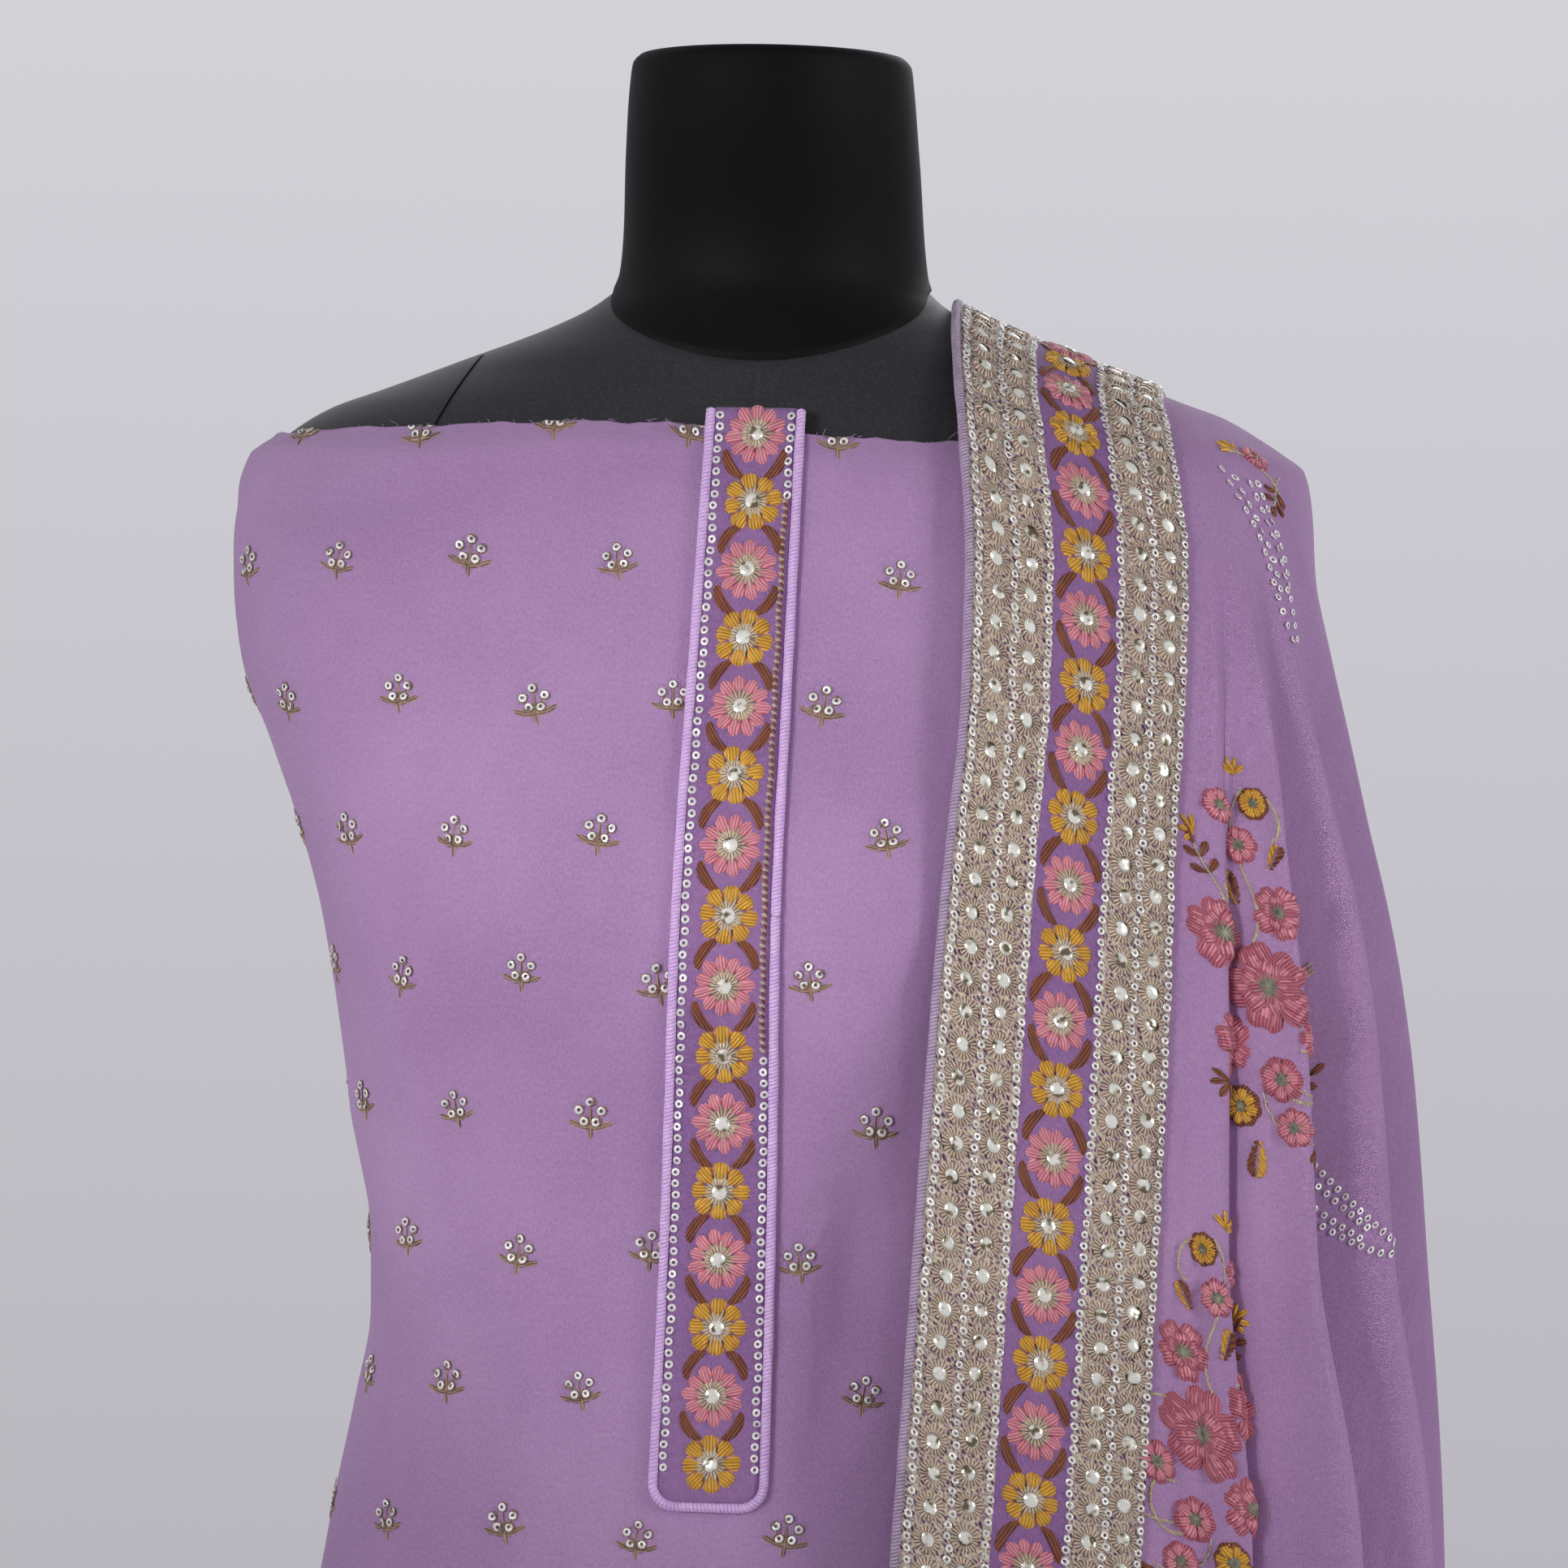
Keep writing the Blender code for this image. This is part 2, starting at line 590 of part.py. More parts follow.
def over_shoulder(points, columns):
    """The stretch of the dupatta under the border as one grid, from the back hem over to the front hem."""
    front = points[:, :columns]
    back = points[:, -columns:][:, ::-1]
    return np.concatenate([back[::-1], front[1:]])


def build_dupatta(finish, border_finish, piping_finish, collection):
    points = dupatta_points()
    cloth("dupatta_cloth", points, DUPATTA_CLOTH, finish, collection)
    strip = over_shoulder(points, len(BORDER_COLUMNS))
    out = grid_normals(strip)
    lift = DUPATTA_CLOTH / 2 + 2 * SEAM_GAP
    cloth("dupatta_border", strip + out * lift, CLOTH, border_finish, collection, offset=1.0)
    inward = strip[:, 0] - strip[:, 1]
    inward = inward / np.linalg.norm(inward, axis=-1, keepdims=True)
    route = strip[:, 0] + inward * (PIPING_RADIUS + 2 * SEAM_GAP)
    tube("dupatta_piping", list(route), PIPING_RADIUS, piping_finish, collection)


def build_belt(finish, collection):
    heights = np.linspace(BELT_TOP, BELT_BOTTOM, 6)
    angles = np.linspace(0, 2 * math.pi, 32, endpoint=False)
    z, angle = np.meshgrid(heights, angles, indexing="ij")
    points = around(FORM, np.maximum(z, 0.80), angle, BELT_EASE)
    points[..., 2] = z
    cloth("salwar_belt", points, CLOTH, finish, collection, wrap=True)


def leg_ring(side, z, angles, out=0.0):
    """One leg's outline. The pole stands inside the leg at +X, so both legs sit a little towards it."""
    inner = LEG_SPLIT + LEG_SPLIT_GAP * side
    outer = side * along(LEG, "outer_edge", z)
    centre = (inner + outer) / 2
    half_width = abs(outer - inner) / 2
    half_depth = along(LEG, "half_depth", z)
    cos, sin = np.cos(angles), np.sin(angles)
    round_leg = ((cos / half_width) ** 2 + (sin / half_depth) ** 2) ** -0.5
    to_split = np.where(side * cos < 0, half_width / np.maximum(-side * cos, 1e-6), 9.0)
    flank = round_leg + 0 * to_split
    for _ in range(12):
        x = centre + flank * cos
        y = flank * sin
        belt = ring_radius(FORM, 0.80, np.arctan2(y, x)) + BELT_EASE
        flank = flank * (0.5 + 0.5 * belt / np.hypot(x, y))
    joined = (to_split**-12 + flank**-12) ** (-1 / 12)
    roundness = along(LEG, "roundness", z)
    pleat = along(LEG, "pleat", z) * np.cos(LEG_PLEATS * angles + 0.8 * np.sin(angles))
    radius = joined + (round_leg - joined) * roundness + pleat + out
    return np.stack([centre + radius * cos, radius * sin, z + 0 * radius], axis=-1)


def build_legs(finish, cuff_finish, collection):
    angles = np.linspace(0, 2 * math.pi, 32, endpoint=False)
    top = BELT_BOTTOM - SEAM_GAP
    for name, side in (("left", 1), ("right", -1)):
        heights = np.concatenate([np.linspace(top, 0.26, 6), np.linspace(0.20, CUFF_TOP + SEAM_GAP, 3)])
        leg = np.array([leg_ring(side, z, angles) for z in heights])
        cloth(f"salwar_leg_{name}", leg, CLOTH, finish, collection, wrap=True)
        cuff = np.array([leg_ring(side, CUFF_TOP, angles) for _ in range(2)])
        cuff[1, :, 2] = CUFF_BOTTOM
        cloth(f"salwar_cuff_{name}", cuff, CUFF_THICKNESS, cuff_finish, collection, wrap=True)


def main():
    for obj in list(bpy.data.objects):
        bpy.data.objects.remove(obj)
    suit = bpy.data.collections.new("salwar_kameez_suit")
    bpy.context.scene.collection.children.link(suit)
    georgette = material("kameez_georgette", LAVENDER, 0.75)
    dupatta_georgette = material("dupatta_georgette", LAVENDER, 0.7)
    salwar_cloth = material("salwar_plain_cloth", LAVENDER, 0.6)
    piping = material("lavender_piping", PALE_LAVENDER, 0.6)
    embroidered = material("embroidered_border", ZARI, 0.5)
    form_cover = material("black_form_cover", FORM_BLACK, 0.8)
    stand = material("black_painted_steel", STEEL_BLACK, 0.4)
    build_form(form_cover, suit)
    build_stand(stand, suit)
    build_belt(salwar_cloth, suit)
    build_legs(salwar_cloth, salwar_cloth, suit)
    build_kameez(georgette, suit)
    build_placket(embroidered, piping, suit)
    build_dupatta(dupatta_georgette, embroidered, piping, suit)


main()
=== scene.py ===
import math
from collections import namedtuple

import bpy
import numpy as np
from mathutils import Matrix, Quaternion, Vector


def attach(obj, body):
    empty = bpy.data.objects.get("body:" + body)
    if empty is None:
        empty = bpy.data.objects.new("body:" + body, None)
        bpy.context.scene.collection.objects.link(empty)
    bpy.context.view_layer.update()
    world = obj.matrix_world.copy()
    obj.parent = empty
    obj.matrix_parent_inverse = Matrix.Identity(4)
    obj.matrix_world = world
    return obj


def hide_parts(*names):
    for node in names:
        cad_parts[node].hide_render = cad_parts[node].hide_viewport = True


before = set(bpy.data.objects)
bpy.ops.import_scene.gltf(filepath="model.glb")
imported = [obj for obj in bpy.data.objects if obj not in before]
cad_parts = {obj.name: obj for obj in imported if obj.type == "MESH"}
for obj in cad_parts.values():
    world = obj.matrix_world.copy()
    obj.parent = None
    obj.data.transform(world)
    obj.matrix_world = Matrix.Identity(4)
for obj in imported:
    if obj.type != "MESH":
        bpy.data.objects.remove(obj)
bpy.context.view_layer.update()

# Sizes of the suit and the form, metres, as in the CAD

CLOTH = 0.0013
KAMEEZ_HEM = 0.340
KAMEEZ_TOP = 1.3440
KAMEEZ_TOP_SLOPE = 0.05
KAMEEZ_TOP_RISE = 0.0015
KAMEEZ_FOLDS = 9
LAP_STEP = 0.0036
BUST_HEIGHT = 1.165
BUST_SPREAD = 0.045
BUST_HALF_SPACING = 0.075
BUST_RISE = 0.006
PLACKET_TOP = 1.3530
PLACKET_LENGTH = 0.402
PLACKET_TOP_WIDTH = 0.0300
PLACKET_BOTTOM_WIDTH = 0.0375
PLACKET_CORNER = 0.0070
PLACKET_TOP_X = 0.0020
PLACKET_BOTTOM_X = -0.0056
RIDGE_START = 0.1485
RIDGE_END = 0.1990
FRONT_HEM = 0.400
BACK_HEM = 0.350
FOLD_LEAN = 0.70
FORM_BOTTOM = 0.755
NECK_LEAN_FROM = 1.400
NECK_LEAN_TO = 1.489
NECK_LEAN = 0.026
BELT_TOP = 1.000
BELT_BOTTOM = 0.7450
BELT_EASE = 0.0032
CUFF_TOP = 0.1050
CUFF_BOTTOM = 0.0550
LEG_SPLIT = -0.0215
LEG_SPLIT_GAP = 0.0018
LEG_PLEATS = 9

Section = namedtuple("Section", "z half_width front back squareness")
FORM = [
    Section(0.7550, 0.1560, 0.0940, 0.1080, 2.2),
    Section(0.7650, 0.1620, 0.0980, 0.1140, 2.2),
    Section(0.8000, 0.1680, 0.1020, 0.1200, 2.2),
    Section(0.8600, 0.1620, 0.1000, 0.1150, 2.2),
    Section(0.9188, 0.1510, 0.0950, 0.1040, 2.2),
    Section(0.9800, 0.1370, 0.0890, 0.0900, 2.2),
    Section(1.0300, 0.1300, 0.0880, 0.0830, 2.15),
    Section(1.0800, 0.1360, 0.0960, 0.0840, 2.2),
    Section(1.1203, 0.1460, 0.1080, 0.0880, 2.3),
    Section(1.1667, 0.1560, 0.1172, 0.0930, 2.4),
    Section(1.1975, 0.1660, 0.1150, 0.0970, 2.4),
    Section(1.2283, 0.1800, 0.1080, 0.0995, 2.4),
    Section(1.2590, 0.1940, 0.1000, 0.1010, 2.4),
    Section(1.2900, 0.2000, 0.0930, 0.1020, 2.35),
    Section(1.3150, 0.2000, 0.0875, 0.1010, 2.25),
    Section(1.3330, 0.1955, 0.0835, 0.0985, 2.1),
    Section(1.3430, 0.1880, 0.0805, 0.0965, 2.0),
    Section(1.3494, 0.1799, 0.0785, 0.0940, 1.95),
    Section(1.3558, 0.1690, 0.0765, 0.0910, 1.85),
    Section(1.3624, 0.1513, 0.0740, 0.0880, 1.8),
    Section(1.3690, 0.1338, 0.0715, 0.0840, 1.75),
    Section(1.3755, 0.1169, 0.0690, 0.0795, 1.75),
    Section(1.3821, 0.0990, 0.0660, 0.0745, 1.75),
    Section(1.3886, 0.0830, 0.0630, 0.0695, 1.8),
    Section(1.3951, 0.0698, 0.0600, 0.0645, 1.9),
    Section(1.4015, 0.0616, 0.0575, 0.0600, 2.0),
    Section(1.4100, 0.0582, 0.0560, 0.0575, 2.0),
    Section(1.4525, 0.0552, 0.0545, 0.0550, 2.0),
    Section(1.4800, 0.0530, 0.0525, 0.0530, 2.0),
    Section(1.4865, 0.0520, 0.0515, 0.0520, 2.0),
    Section(1.4890, 0.0496, 0.0490, 0.0496, 2.0),
]
KAMEEZ = [
    Section(0.3400, 0.1920, 0.1250, 0.1320, 2.2),
    Section(0.5000, 0.1880, 0.1210, 0.1310, 2.2),
    Section(0.6000, 0.1850, 0.1190, 0.1300, 2.2),
    Section(0.7400, 0.1810, 0.1160, 0.1290, 2.2),
    Section(0.8000, 0.1770, 0.1130, 0.1275, 2.2),
    Section(0.8600, 0.1710, 0.1095, 0.1215, 2.2),
    Section(0.9188, 0.1613, 0.1060, 0.1105, 2.2),
    Section(0.9499, 0.1560, 0.1035, 0.1035, 2.2),
    Section(0.9810, 0.1500, 0.1015, 0.0970, 2.2),
    Section(1.0121, 0.1454, 0.1010, 0.0935, 2.2),
    Section(1.0431, 0.1460, 0.1030, 0.0925, 2.2),
    Section(1.0740, 0.1515, 0.1070, 0.0930, 2.2),
    Section(1.1049, 0.1563, 0.1120, 0.0945, 2.3),
    Section(1.1358, 0.1612, 0.1185, 0.0965, 2.35),
    Section(1.1667, 0.1671, 0.1213, 0.0985, 2.4),
    Section(1.1975, 0.1764, 0.1188, 0.1010, 2.4),
    Section(1.2283, 0.1879, 0.1110, 0.1035, 2.45),
    Section(1.2590, 0.2000, 0.1035, 0.1050, 2.45),
    Section(1.2900, 0.2041, 0.0965, 0.1055, 2.4),
    Section(1.3055, 0.2047, 0.0930, 0.1050, 2.35),
    Section(1.3210, 0.2035, 0.0895, 0.1040, 2.3),
    Section(1.3366, 0.1998, 0.0862, 0.1020, 2.15),
    Section(1.3433, 0.1905, 0.0846, 0.1005, 2.05),
    Section(1.3600, 0.1800, 0.0800, 0.0960, 2.0),
]
DRAPE = [
    Section(0.3000, 0.2420, 0.1480, 0.1520, 2.7),
    Section(0.5000, 0.2400, 0.1420, 0.1470, 2.8),
    Section(0.6000, 0.2395, 0.1390, 0.1450, 2.8),
    Section(0.8000, 0.2380, 0.1325, 0.1405, 2.8),
    Section(0.9300, 0.2360, 0.1290, 0.1270, 2.8),
    Section(1.0000, 0.2350, 0.1285, 0.1190, 2.8),
    Section(1.0500, 0.2340, 0.1285, 0.1165, 2.8),
    Section(1.1100, 0.2320, 0.1285, 0.1150, 2.75),
    Section(1.1443, 0.2294, 0.1280, 0.1150, 2.7),
    Section(1.1753, 0.2260, 0.1265, 0.1148, 2.65),
    Section(1.2061, 0.2214, 0.1235, 0.1145, 2.6),
    Section(1.2369, 0.2176, 0.1180, 0.1142, 2.55),
    Section(1.2677, 0.2130, 0.1110, 0.1135, 2.5),
    Section(1.2986, 0.2078, 0.1035, 0.1140, 2.45),
    Section(1.3210, 0.2062, 0.0980, 0.1125, 2.4),
    Section(1.3366, 0.2030, 0.0935, 0.1105, 2.25),
    Section(1.3430, 0.1950, 0.0910, 0.1090, 2.15),
    Section(1.3494, 0.1850, 0.0885, 0.1065, 2.05),
    Section(1.3558, 0.1738, 0.0855, 0.1000, 1.95),
    Section(1.3624, 0.1556, 0.0820, 0.0970, 1.9),
    Section(1.3690, 0.1382, 0.0785, 0.0930, 1.85),
    Section(1.3755, 0.1214, 0.0750, 0.0885, 1.8),
    Section(1.3821, 0.1036, 0.0715, 0.0830, 1.8),
    Section(1.3886, 0.0874, 0.0680, 0.0775, 1.85),
    Section(1.3951, 0.0742, 0.0645, 0.0710, 1.95),
    Section(1.4050, 0.0630, 0.0610, 0.0640, 2.0),
]
BorderLine = namedtuple("BorderLine", "z inner_edge outer_edge")
BORDER_LINES = [
    BorderLine(0.3000, 0.0440, 0.1290),
    BorderLine(0.6000, 0.0530, 0.1390),
    BorderLine(0.8000, 0.0600, 0.1470),
    BorderLine(0.9320, 0.0664, 0.1530),
    BorderLine(1.0300, 0.0715, 0.1562),
    BorderLine(1.0890, 0.0745, 0.1580),
    BorderLine(1.1470, 0.0775, 0.1592),
    BorderLine(1.1910, 0.0805, 0.1595),
    BorderLine(1.2500, 0.0845, 0.1615),
    BorderLine(1.2954, 0.0842, 0.1612),
    BorderLine(1.3415, 0.0800, 0.1545),
    BorderLine(1.3640, 0.0765, 0.1485),
    BorderLine(1.4050, 0.0700, 0.1440),
]
FoldSize = namedtuple("FoldSize", "z rise crowding")
FOLD_SIZES = [
    FoldSize(0.3000, 0.0170, 1.0),
    FoldSize(0.6000, 0.0165, 1.0),
    FoldSize(0.8000, 0.0158, 0.95),
    FoldSize(0.9300, 0.0145, 0.80),
    FoldSize(1.0500, 0.0118, 0.0),
    FoldSize(1.1443, 0.0088, -0.10),
    FoldSize(1.2061, 0.0056, -0.16),
    FoldSize(1.2677, 0.0020, -0.20),
    FoldSize(1.3150, 0.0000, -0.20),
]
FoldPlace = namedtuple("FoldPlace", "turn share")
FOLD_PLACES = [
    FoldPlace(-0.6, 1.00),
    FoldPlace(0.0, 0.88),
    FoldPlace(1.0, 0.72),
    FoldPlace(2.0, 0.50),
    FoldPlace(3.0, 0.22),
    FoldPlace(4.0, -0.22),
    FoldPlace(5.0, -0.50),
    FoldPlace(6.0, -0.72),
    FoldPlace(7.0, -0.88),
    FoldPlace(7.6, -1.00),
]
HemPoint = namedtuple("HemPoint", "share height_over_hem")
DUPATTA_HEM = [
    HemPoint(0.00, 0.270),
    HemPoint(0.20, 0.200),
    HemPoint(0.42, 0.030),
    HemPoint(0.58, -0.065),
    HemPoint(0.80, -0.030),
    HemPoint(1.00, 0.000),
]
LapPoint = namedtuple("LapPoint", "z half_angle")
LAP = [
    LapPoint(0.3400, 0.22),
    LapPoint(0.6000, 0.28),
    LapPoint(0.8000, 0.36),
    LapPoint(0.9200, 0.62),
    LapPoint(1.0300, 0.90),
    LapPoint(1.1400, 0.62),
    LapPoint(1.2500, 0.30),
    LapPoint(1.3600, 0.20),
]
LegSection = namedtuple("LegSection", "z roundness outer_edge half_depth pleat")
LEG = [
    LegSection(0.1050, 1.00, 0.1400, 0.0560, 0.0000),
    LegSection(0.1400, 1.00, 0.1430, 0.0590, 0.0030),
    LegSection(0.2200, 0.95, 0.1480, 0.0660, 0.0040),
    LegSection(0.3400, 0.85, 0.1510, 0.0730, 0.0040),
    LegSection(0.5200, 0.60, 0.1540, 0.0780, 0.0035),
    LegSection(0.6600, 0.20, 0.1620, 0.0840, 0.0020),
    LegSection(0.7447, 0.00, 0.1720, 0.0880, 0.0000),
]


# Shape functions

def smooth_step(value):
    value = np.clip(value, 0.0, 1.0)
    return value * value * (3.0 - 2.0 * value)


def along(table, column, at):
    """A column of a table, read between its rows by a cubic that never overshoots them."""
    xs = np.array([row[0] for row in table])
    ys = np.array([getattr(row, column) for row in table])
    steps = np.diff(xs)
    slopes = np.diff(ys) / steps
    tangents = np.zeros_like(ys)
    same_way = slopes[:-1] * slopes[1:] > 0
    heavy = 2 * steps[1:] + steps[:-1]
    light = steps[1:] + 2 * steps[:-1]
    safe = [np.where(same_way, s, 1.0) for s in (slopes[:-1], slopes[1:])]
    mean = (heavy + light) / (heavy / safe[0] + light / safe[1])
    tangents[1:-1] = np.where(same_way, mean, 0.0)
    tangents[0] = slopes[0]
    tangents[-1] = slopes[-1]
    at = np.clip(np.asarray(at, float), xs[0], xs[-1])
    i = np.clip(np.searchsorted(xs, at) - 1, 0, len(xs) - 2)
    t = (at - xs[i]) / steps[i]
    rise = ys[i] + t * steps[i] * tangents[i]
    rise = rise + t**2 * (3 * (ys[i + 1] - ys[i]) - steps[i] * (2 * tangents[i] + tangents[i + 1]))
    return rise + t**3 * (2 * (ys[i] - ys[i + 1]) + steps[i] * (tangents[i] + tangents[i + 1]))


def ring_radius(table, z, angle):
    n = along(table, "squareness", z)
    depth = np.where(np.sin(angle) < 0, along(table, "front", z), along(table, "back", z))
    across = np.abs(np.cos(angle)) / along(table, "half_width", z)
    return (across**n + (np.abs(np.sin(angle)) / depth) ** n) ** (-1.0 / n)


def bust(x, y, z):
    level = np.exp(-(((z - BUST_HEIGHT) / BUST_SPREAD) ** 2))
    sides = sum(np.exp(-(((x - s * BUST_HALF_SPACING) / BUST_SPREAD) ** 2)) for s in (-1, 1))
    return BUST_RISE * level * sides * smooth_step(-y / 0.06)


def around(table, z, angle, out=0.0):
    radius = ring_radius(table, z, angle) + out
    x = radius * np.cos(angle)
    y = radius * np.sin(angle)
    return np.stack([x, y - bust(x, y, z), z + 0 * x], axis=-1)


def unit(vectors):
    return vectors / np.maximum(np.linalg.norm(vectors, axis=-1, keepdims=True), 1e-12)


def grid_normals(points):
    """Outward unit normals of a grid whose rows run down and whose columns run anticlockwise from above."""
    return unit(np.cross(np.gradient(points, axis=0), np.gradient(points, axis=1)))


def arc(points, axis):
    """Length along a grid, from its first row or column."""
    steps = np.linalg.norm(np.diff(points, axis=axis), axis=-1)
    pad = [(0, 0)] * steps.ndim
    pad[axis] = (1, 0)
    return np.cumsum(np.pad(steps, pad), axis=axis)


# Meshes

def mesh_object(
    name, verts, faces, look, body="root", smooth=True, uv=None, looks=None, which=None
):
    mesh = bpy.data.meshes.new(name)
    mesh.vertices.add(len(verts))
    mesh.vertices.foreach_set("co", np.asarray(verts, np.float32).ravel())
    size = faces.shape[1]
    mesh.loops.add(faces.size)
    mesh.loops.foreach_set("vertex_index", faces.astype(np.int32).ravel())
    mesh.polygons.add(len(faces))
    mesh.polygons.foreach_set("loop_start", np.arange(0, faces.size, size, dtype=np.int32))
    mesh.polygons.foreach_set("loop_total", np.full(len(faces), size, dtype=np.int32))
    mesh.update(calc_edges=True)
    if uv is not None:
        layer = mesh.uv_layers.new(name="UVMap")
        layer.data.foreach_set("uv", np.asarray(uv, np.float32)[faces.ravel()].ravel())
    mesh.polygons.foreach_set("use_smooth", np.full(len(faces), smooth))
    made = bpy.data.objects.new(name, mesh)
    bpy.context.scene.collection.objects.link(made)
    for one in looks or [look]:
        mesh.materials.append(one)
    if which is not None:
        mesh.polygons.foreach_set("material_index", which.astype(np.int32))
    mesh.validate()
    if body:
        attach(made, body)
    return made


def grid_faces(rows, columns, wrap=False):
    j = np.arange(columns if wrap else columns - 1)
    k = (j + 1) % columns
    i = np.arange(rows - 1)[:, None]
    return np.stack(
        [i * columns + j, (i + 1) * columns + j, (i + 1) * columns + k, i * columns + k], -1
    ).reshape(-1, 4)


def cloth_object(name, points, look, thickness, wrap=False, offset=0.0):
    """A sheet with a wall, with texture coordinates in metres: across, then down."""
    rows, columns = points.shape[:2]
    uv = np.stack([arc(points, 1), arc(points, 0)], -1).reshape(-1, 2)
    made = mesh_object(name, points.reshape(-1, 3), grid_faces(rows, columns, wrap), look, uv=uv)
    wall = made.modifiers.new("Wall", "SOLIDIFY")
    wall.thickness = thickness
    wall.offset = offset
    return made


def tube_mesh(path, radius, sides=8, up=None):
    """Rings of points round a path. The first and last shrink to a point, which closes the ends."""
    path = np.asarray(path, float)
    forward = unit(np.gradient(path, axis=0))
    up = np.array([0.0, 0.0, 1.0]) if up is None else np.asarray(up, float)
    side = np.cross(forward, up)
    flat = np.linalg.norm(side, axis=1) < 1e-3
    side[flat] = np.cross(forward[flat], np.array([0.0, 1.0, 0.0]))
    side = unit(side)
    other = np.cross(side, forward)
    turn = np.linspace(0, 2 * math.pi, sides, endpoint=False)
    radius = np.array(np.broadcast_to(np.asarray(radius, float), (len(path),)))
    radius[[0, -1]] = 0.0
    ring = np.cos(turn)[None, :, None] * side[:, None] + np.sin(turn)[None, :, None] * other[:, None]
    return path[:, None] + ring * radius[:, None, None]


# Looks: every material is made of nodes

class Look:
    def __init__(self, name):
        self.material = bpy.data.materials.new(name)
        self.material.use_nodes = True
        self.tree = self.material.node_tree
        self.shader = self.tree.nodes["Principled BSDF"]

    def node(self, kind, settings=None, **inputs):
        made = self.tree.nodes.new("ShaderNode" + kind)
        for key, value in (settings or {}).items():
            setattr(made, key, value)
        for key, value in inputs.items():
            self.feed(made, key.replace("_", " "), value)
        return made

    def feed(self, node, key, value):
        socket = node.inputs[int(key)] if key.isdigit() else node.inputs[key]
        if isinstance(value, bpy.types.NodeSocket):
            self.tree.links.new(value, socket)
        else:
            socket.default_value = value

    def set(self, **values):
        for key, value in values.items():
            self.feed(self.shader, key.replace("_", " "), value)

    def coords(self, kind="Object", scale=(1, 1, 1)):
        source = self.node("TexCoord").outputs[kind]
        return self.node("Mapping", Vector=source, Scale=scale).outputs["Vector"]

    def noise(self, vector, scale, detail=3.0, rough=0.5):
        made = self.node("TexNoise", Vector=vector, Scale=scale, Detail=detail, Roughness=rough)
        return made.outputs["Fac"]

    def wave(self, vector, scale, direction="X", distortion=0.0, detail_scale=1.0):
        made = self.node(
            "TexWave", {"bands_direction": direction}, Vector=vector, Scale=scale, Distortion=distortion
        )
        made.inputs["Detail Scale"].default_value = detail_scale
        return made.outputs["Fac"]

    def math(self, operation, a, b):
        made = self.node("Math", {"operation": operation})
        self.feed(made, "0", a)
        self.feed(made, "1", b)
        return made.outputs[0]

    def ramp(self, factor, stops):
        made = self.node("ValToRGB", Fac=factor)
        ramp = made.color_ramp
        while len(ramp.elements) < len(stops):
            ramp.elements.new(0.5)
        for element, (at, colour) in zip(ramp.elements, stops):
            element.position = at
            element.color = colour
        return made.outputs["Color"]

    def bump(self, height, distance, strength=1.0, normal=None):
        made = self.node("Bump", Height=height, Distance=distance, Strength=strength)
        if normal is not None:
            self.feed(made, "Normal", normal)
        return made.outputs["Normal"]


def srgb(r, g, b):
    """A linear colour from screen values from 0 to 255."""
    parts = [v / 255 for v in (r, g, b)]
    return tuple(v / 12.92 if v <= 0.04045 else ((v + 0.055) / 1.055) ** 2.4 for v in parts) + (1.0,)


def georgette(name, light, dark, crinkle):
    look = Look(name)
    here = look.coords("UV")
    soft = look.noise(look.coords("Object"), 11.0, 3.0)
    grain = look.noise(look.coords("UV", (1100, 650, 1)), 1.0, 3.0, 0.7)
    slub = look.noise(look.coords("UV", (240, 520, 1)), 1.0, 3.0, 0.6)
    mixed = look.math("ADD", look.math("MULTIPLY", soft, 0.34), look.math("MULTIPLY", grain, 0.56))
    mixed = look.math("ADD", mixed, look.math("MULTIPLY", slub, 0.10))
    look.set(Base_Color=look.ramp(mixed, [(0.36, dark), (0.64, light)]), Roughness=0.72)
    look.set(Sheen_Weight=0.20, Sheen_Roughness=0.40, Sheen_Tint=(0.93, 0.84, 1.0, 1.0))
    look.set(Specular_IOR_Level=0.34)
    threads = look.math(
        "MULTIPLY", look.wave(here, 420, "X", 1.5, 2.0), look.wave(here, 380, "Y", 1.5, 2.0)
    )
    fine = look.bump(look.math("ADD", threads, grain), 0.00030, 0.65)
    drawn = look.noise(look.coords("UV", (150, 60, 1)), 1.0, 3.0, 0.5)
    broad = look.noise(look.coords("UV", (22, 9, 1)), 1.0, 2.0, 0.5)
    creased = look.math("ADD", drawn, look.math("MULTIPLY", broad, 3.0))
    look.set(Normal=look.bump(creased, crinkle, 0.8, fine))
    return look.material


def thread(name, light, dark, metallic=0.0, roughness=0.5, period=0.00056, relief=0.00030):
    """Satin stitches: fine threads side by side across the piece's own width. The colour goes dark in the
    grooves and light on the tops of the threads, painted shade and painted highlight that follow the bump,
    mixed with a random tone.
    """
    look = Look(name)
    here = look.coords("UV")
    strands = look.wave(here, 0.314 / period, "X", 0.8, 3.0)
    cloud = look.noise(look.coords("Object"), 170.0, 3.0)
    # painted shade and highlight: the strand waves that raise the bump also darken and lighten the colour
    mixed = look.math("ADD", look.math("MULTIPLY", strands, 0.50), look.math("MULTIPLY", cloud, 0.60))
    look.set(
        Base_Color=look.ramp(mixed, [(0.26, dark), (0.72, light)]), Roughness=roughness, Metallic=metallic
    )
    look.set(Sheen_Weight=0.20, Sheen_Roughness=0.35)
    look.set(Normal=look.bump(strands, relief, 0.9))
    return look.material


def shiny(name, colour, roughness, ripple=0.00006, metallic=1.0):
    look = Look(name)
    cloud = look.noise(look.coords("Object"), 240.0, 2.0)
    dark = tuple(v * 0.82 for v in colour[:3]) + (1.0,)
    look.set(
        Base_Color=look.ramp(cloud, [(0.3, dark), (0.7, colour)]), Metallic=metallic, Roughness=roughness
    )
    look.set(Normal=look.bump(look.noise(look.coords("Object"), 900.0, 1.0), ripple, 0.5))
    return look.material


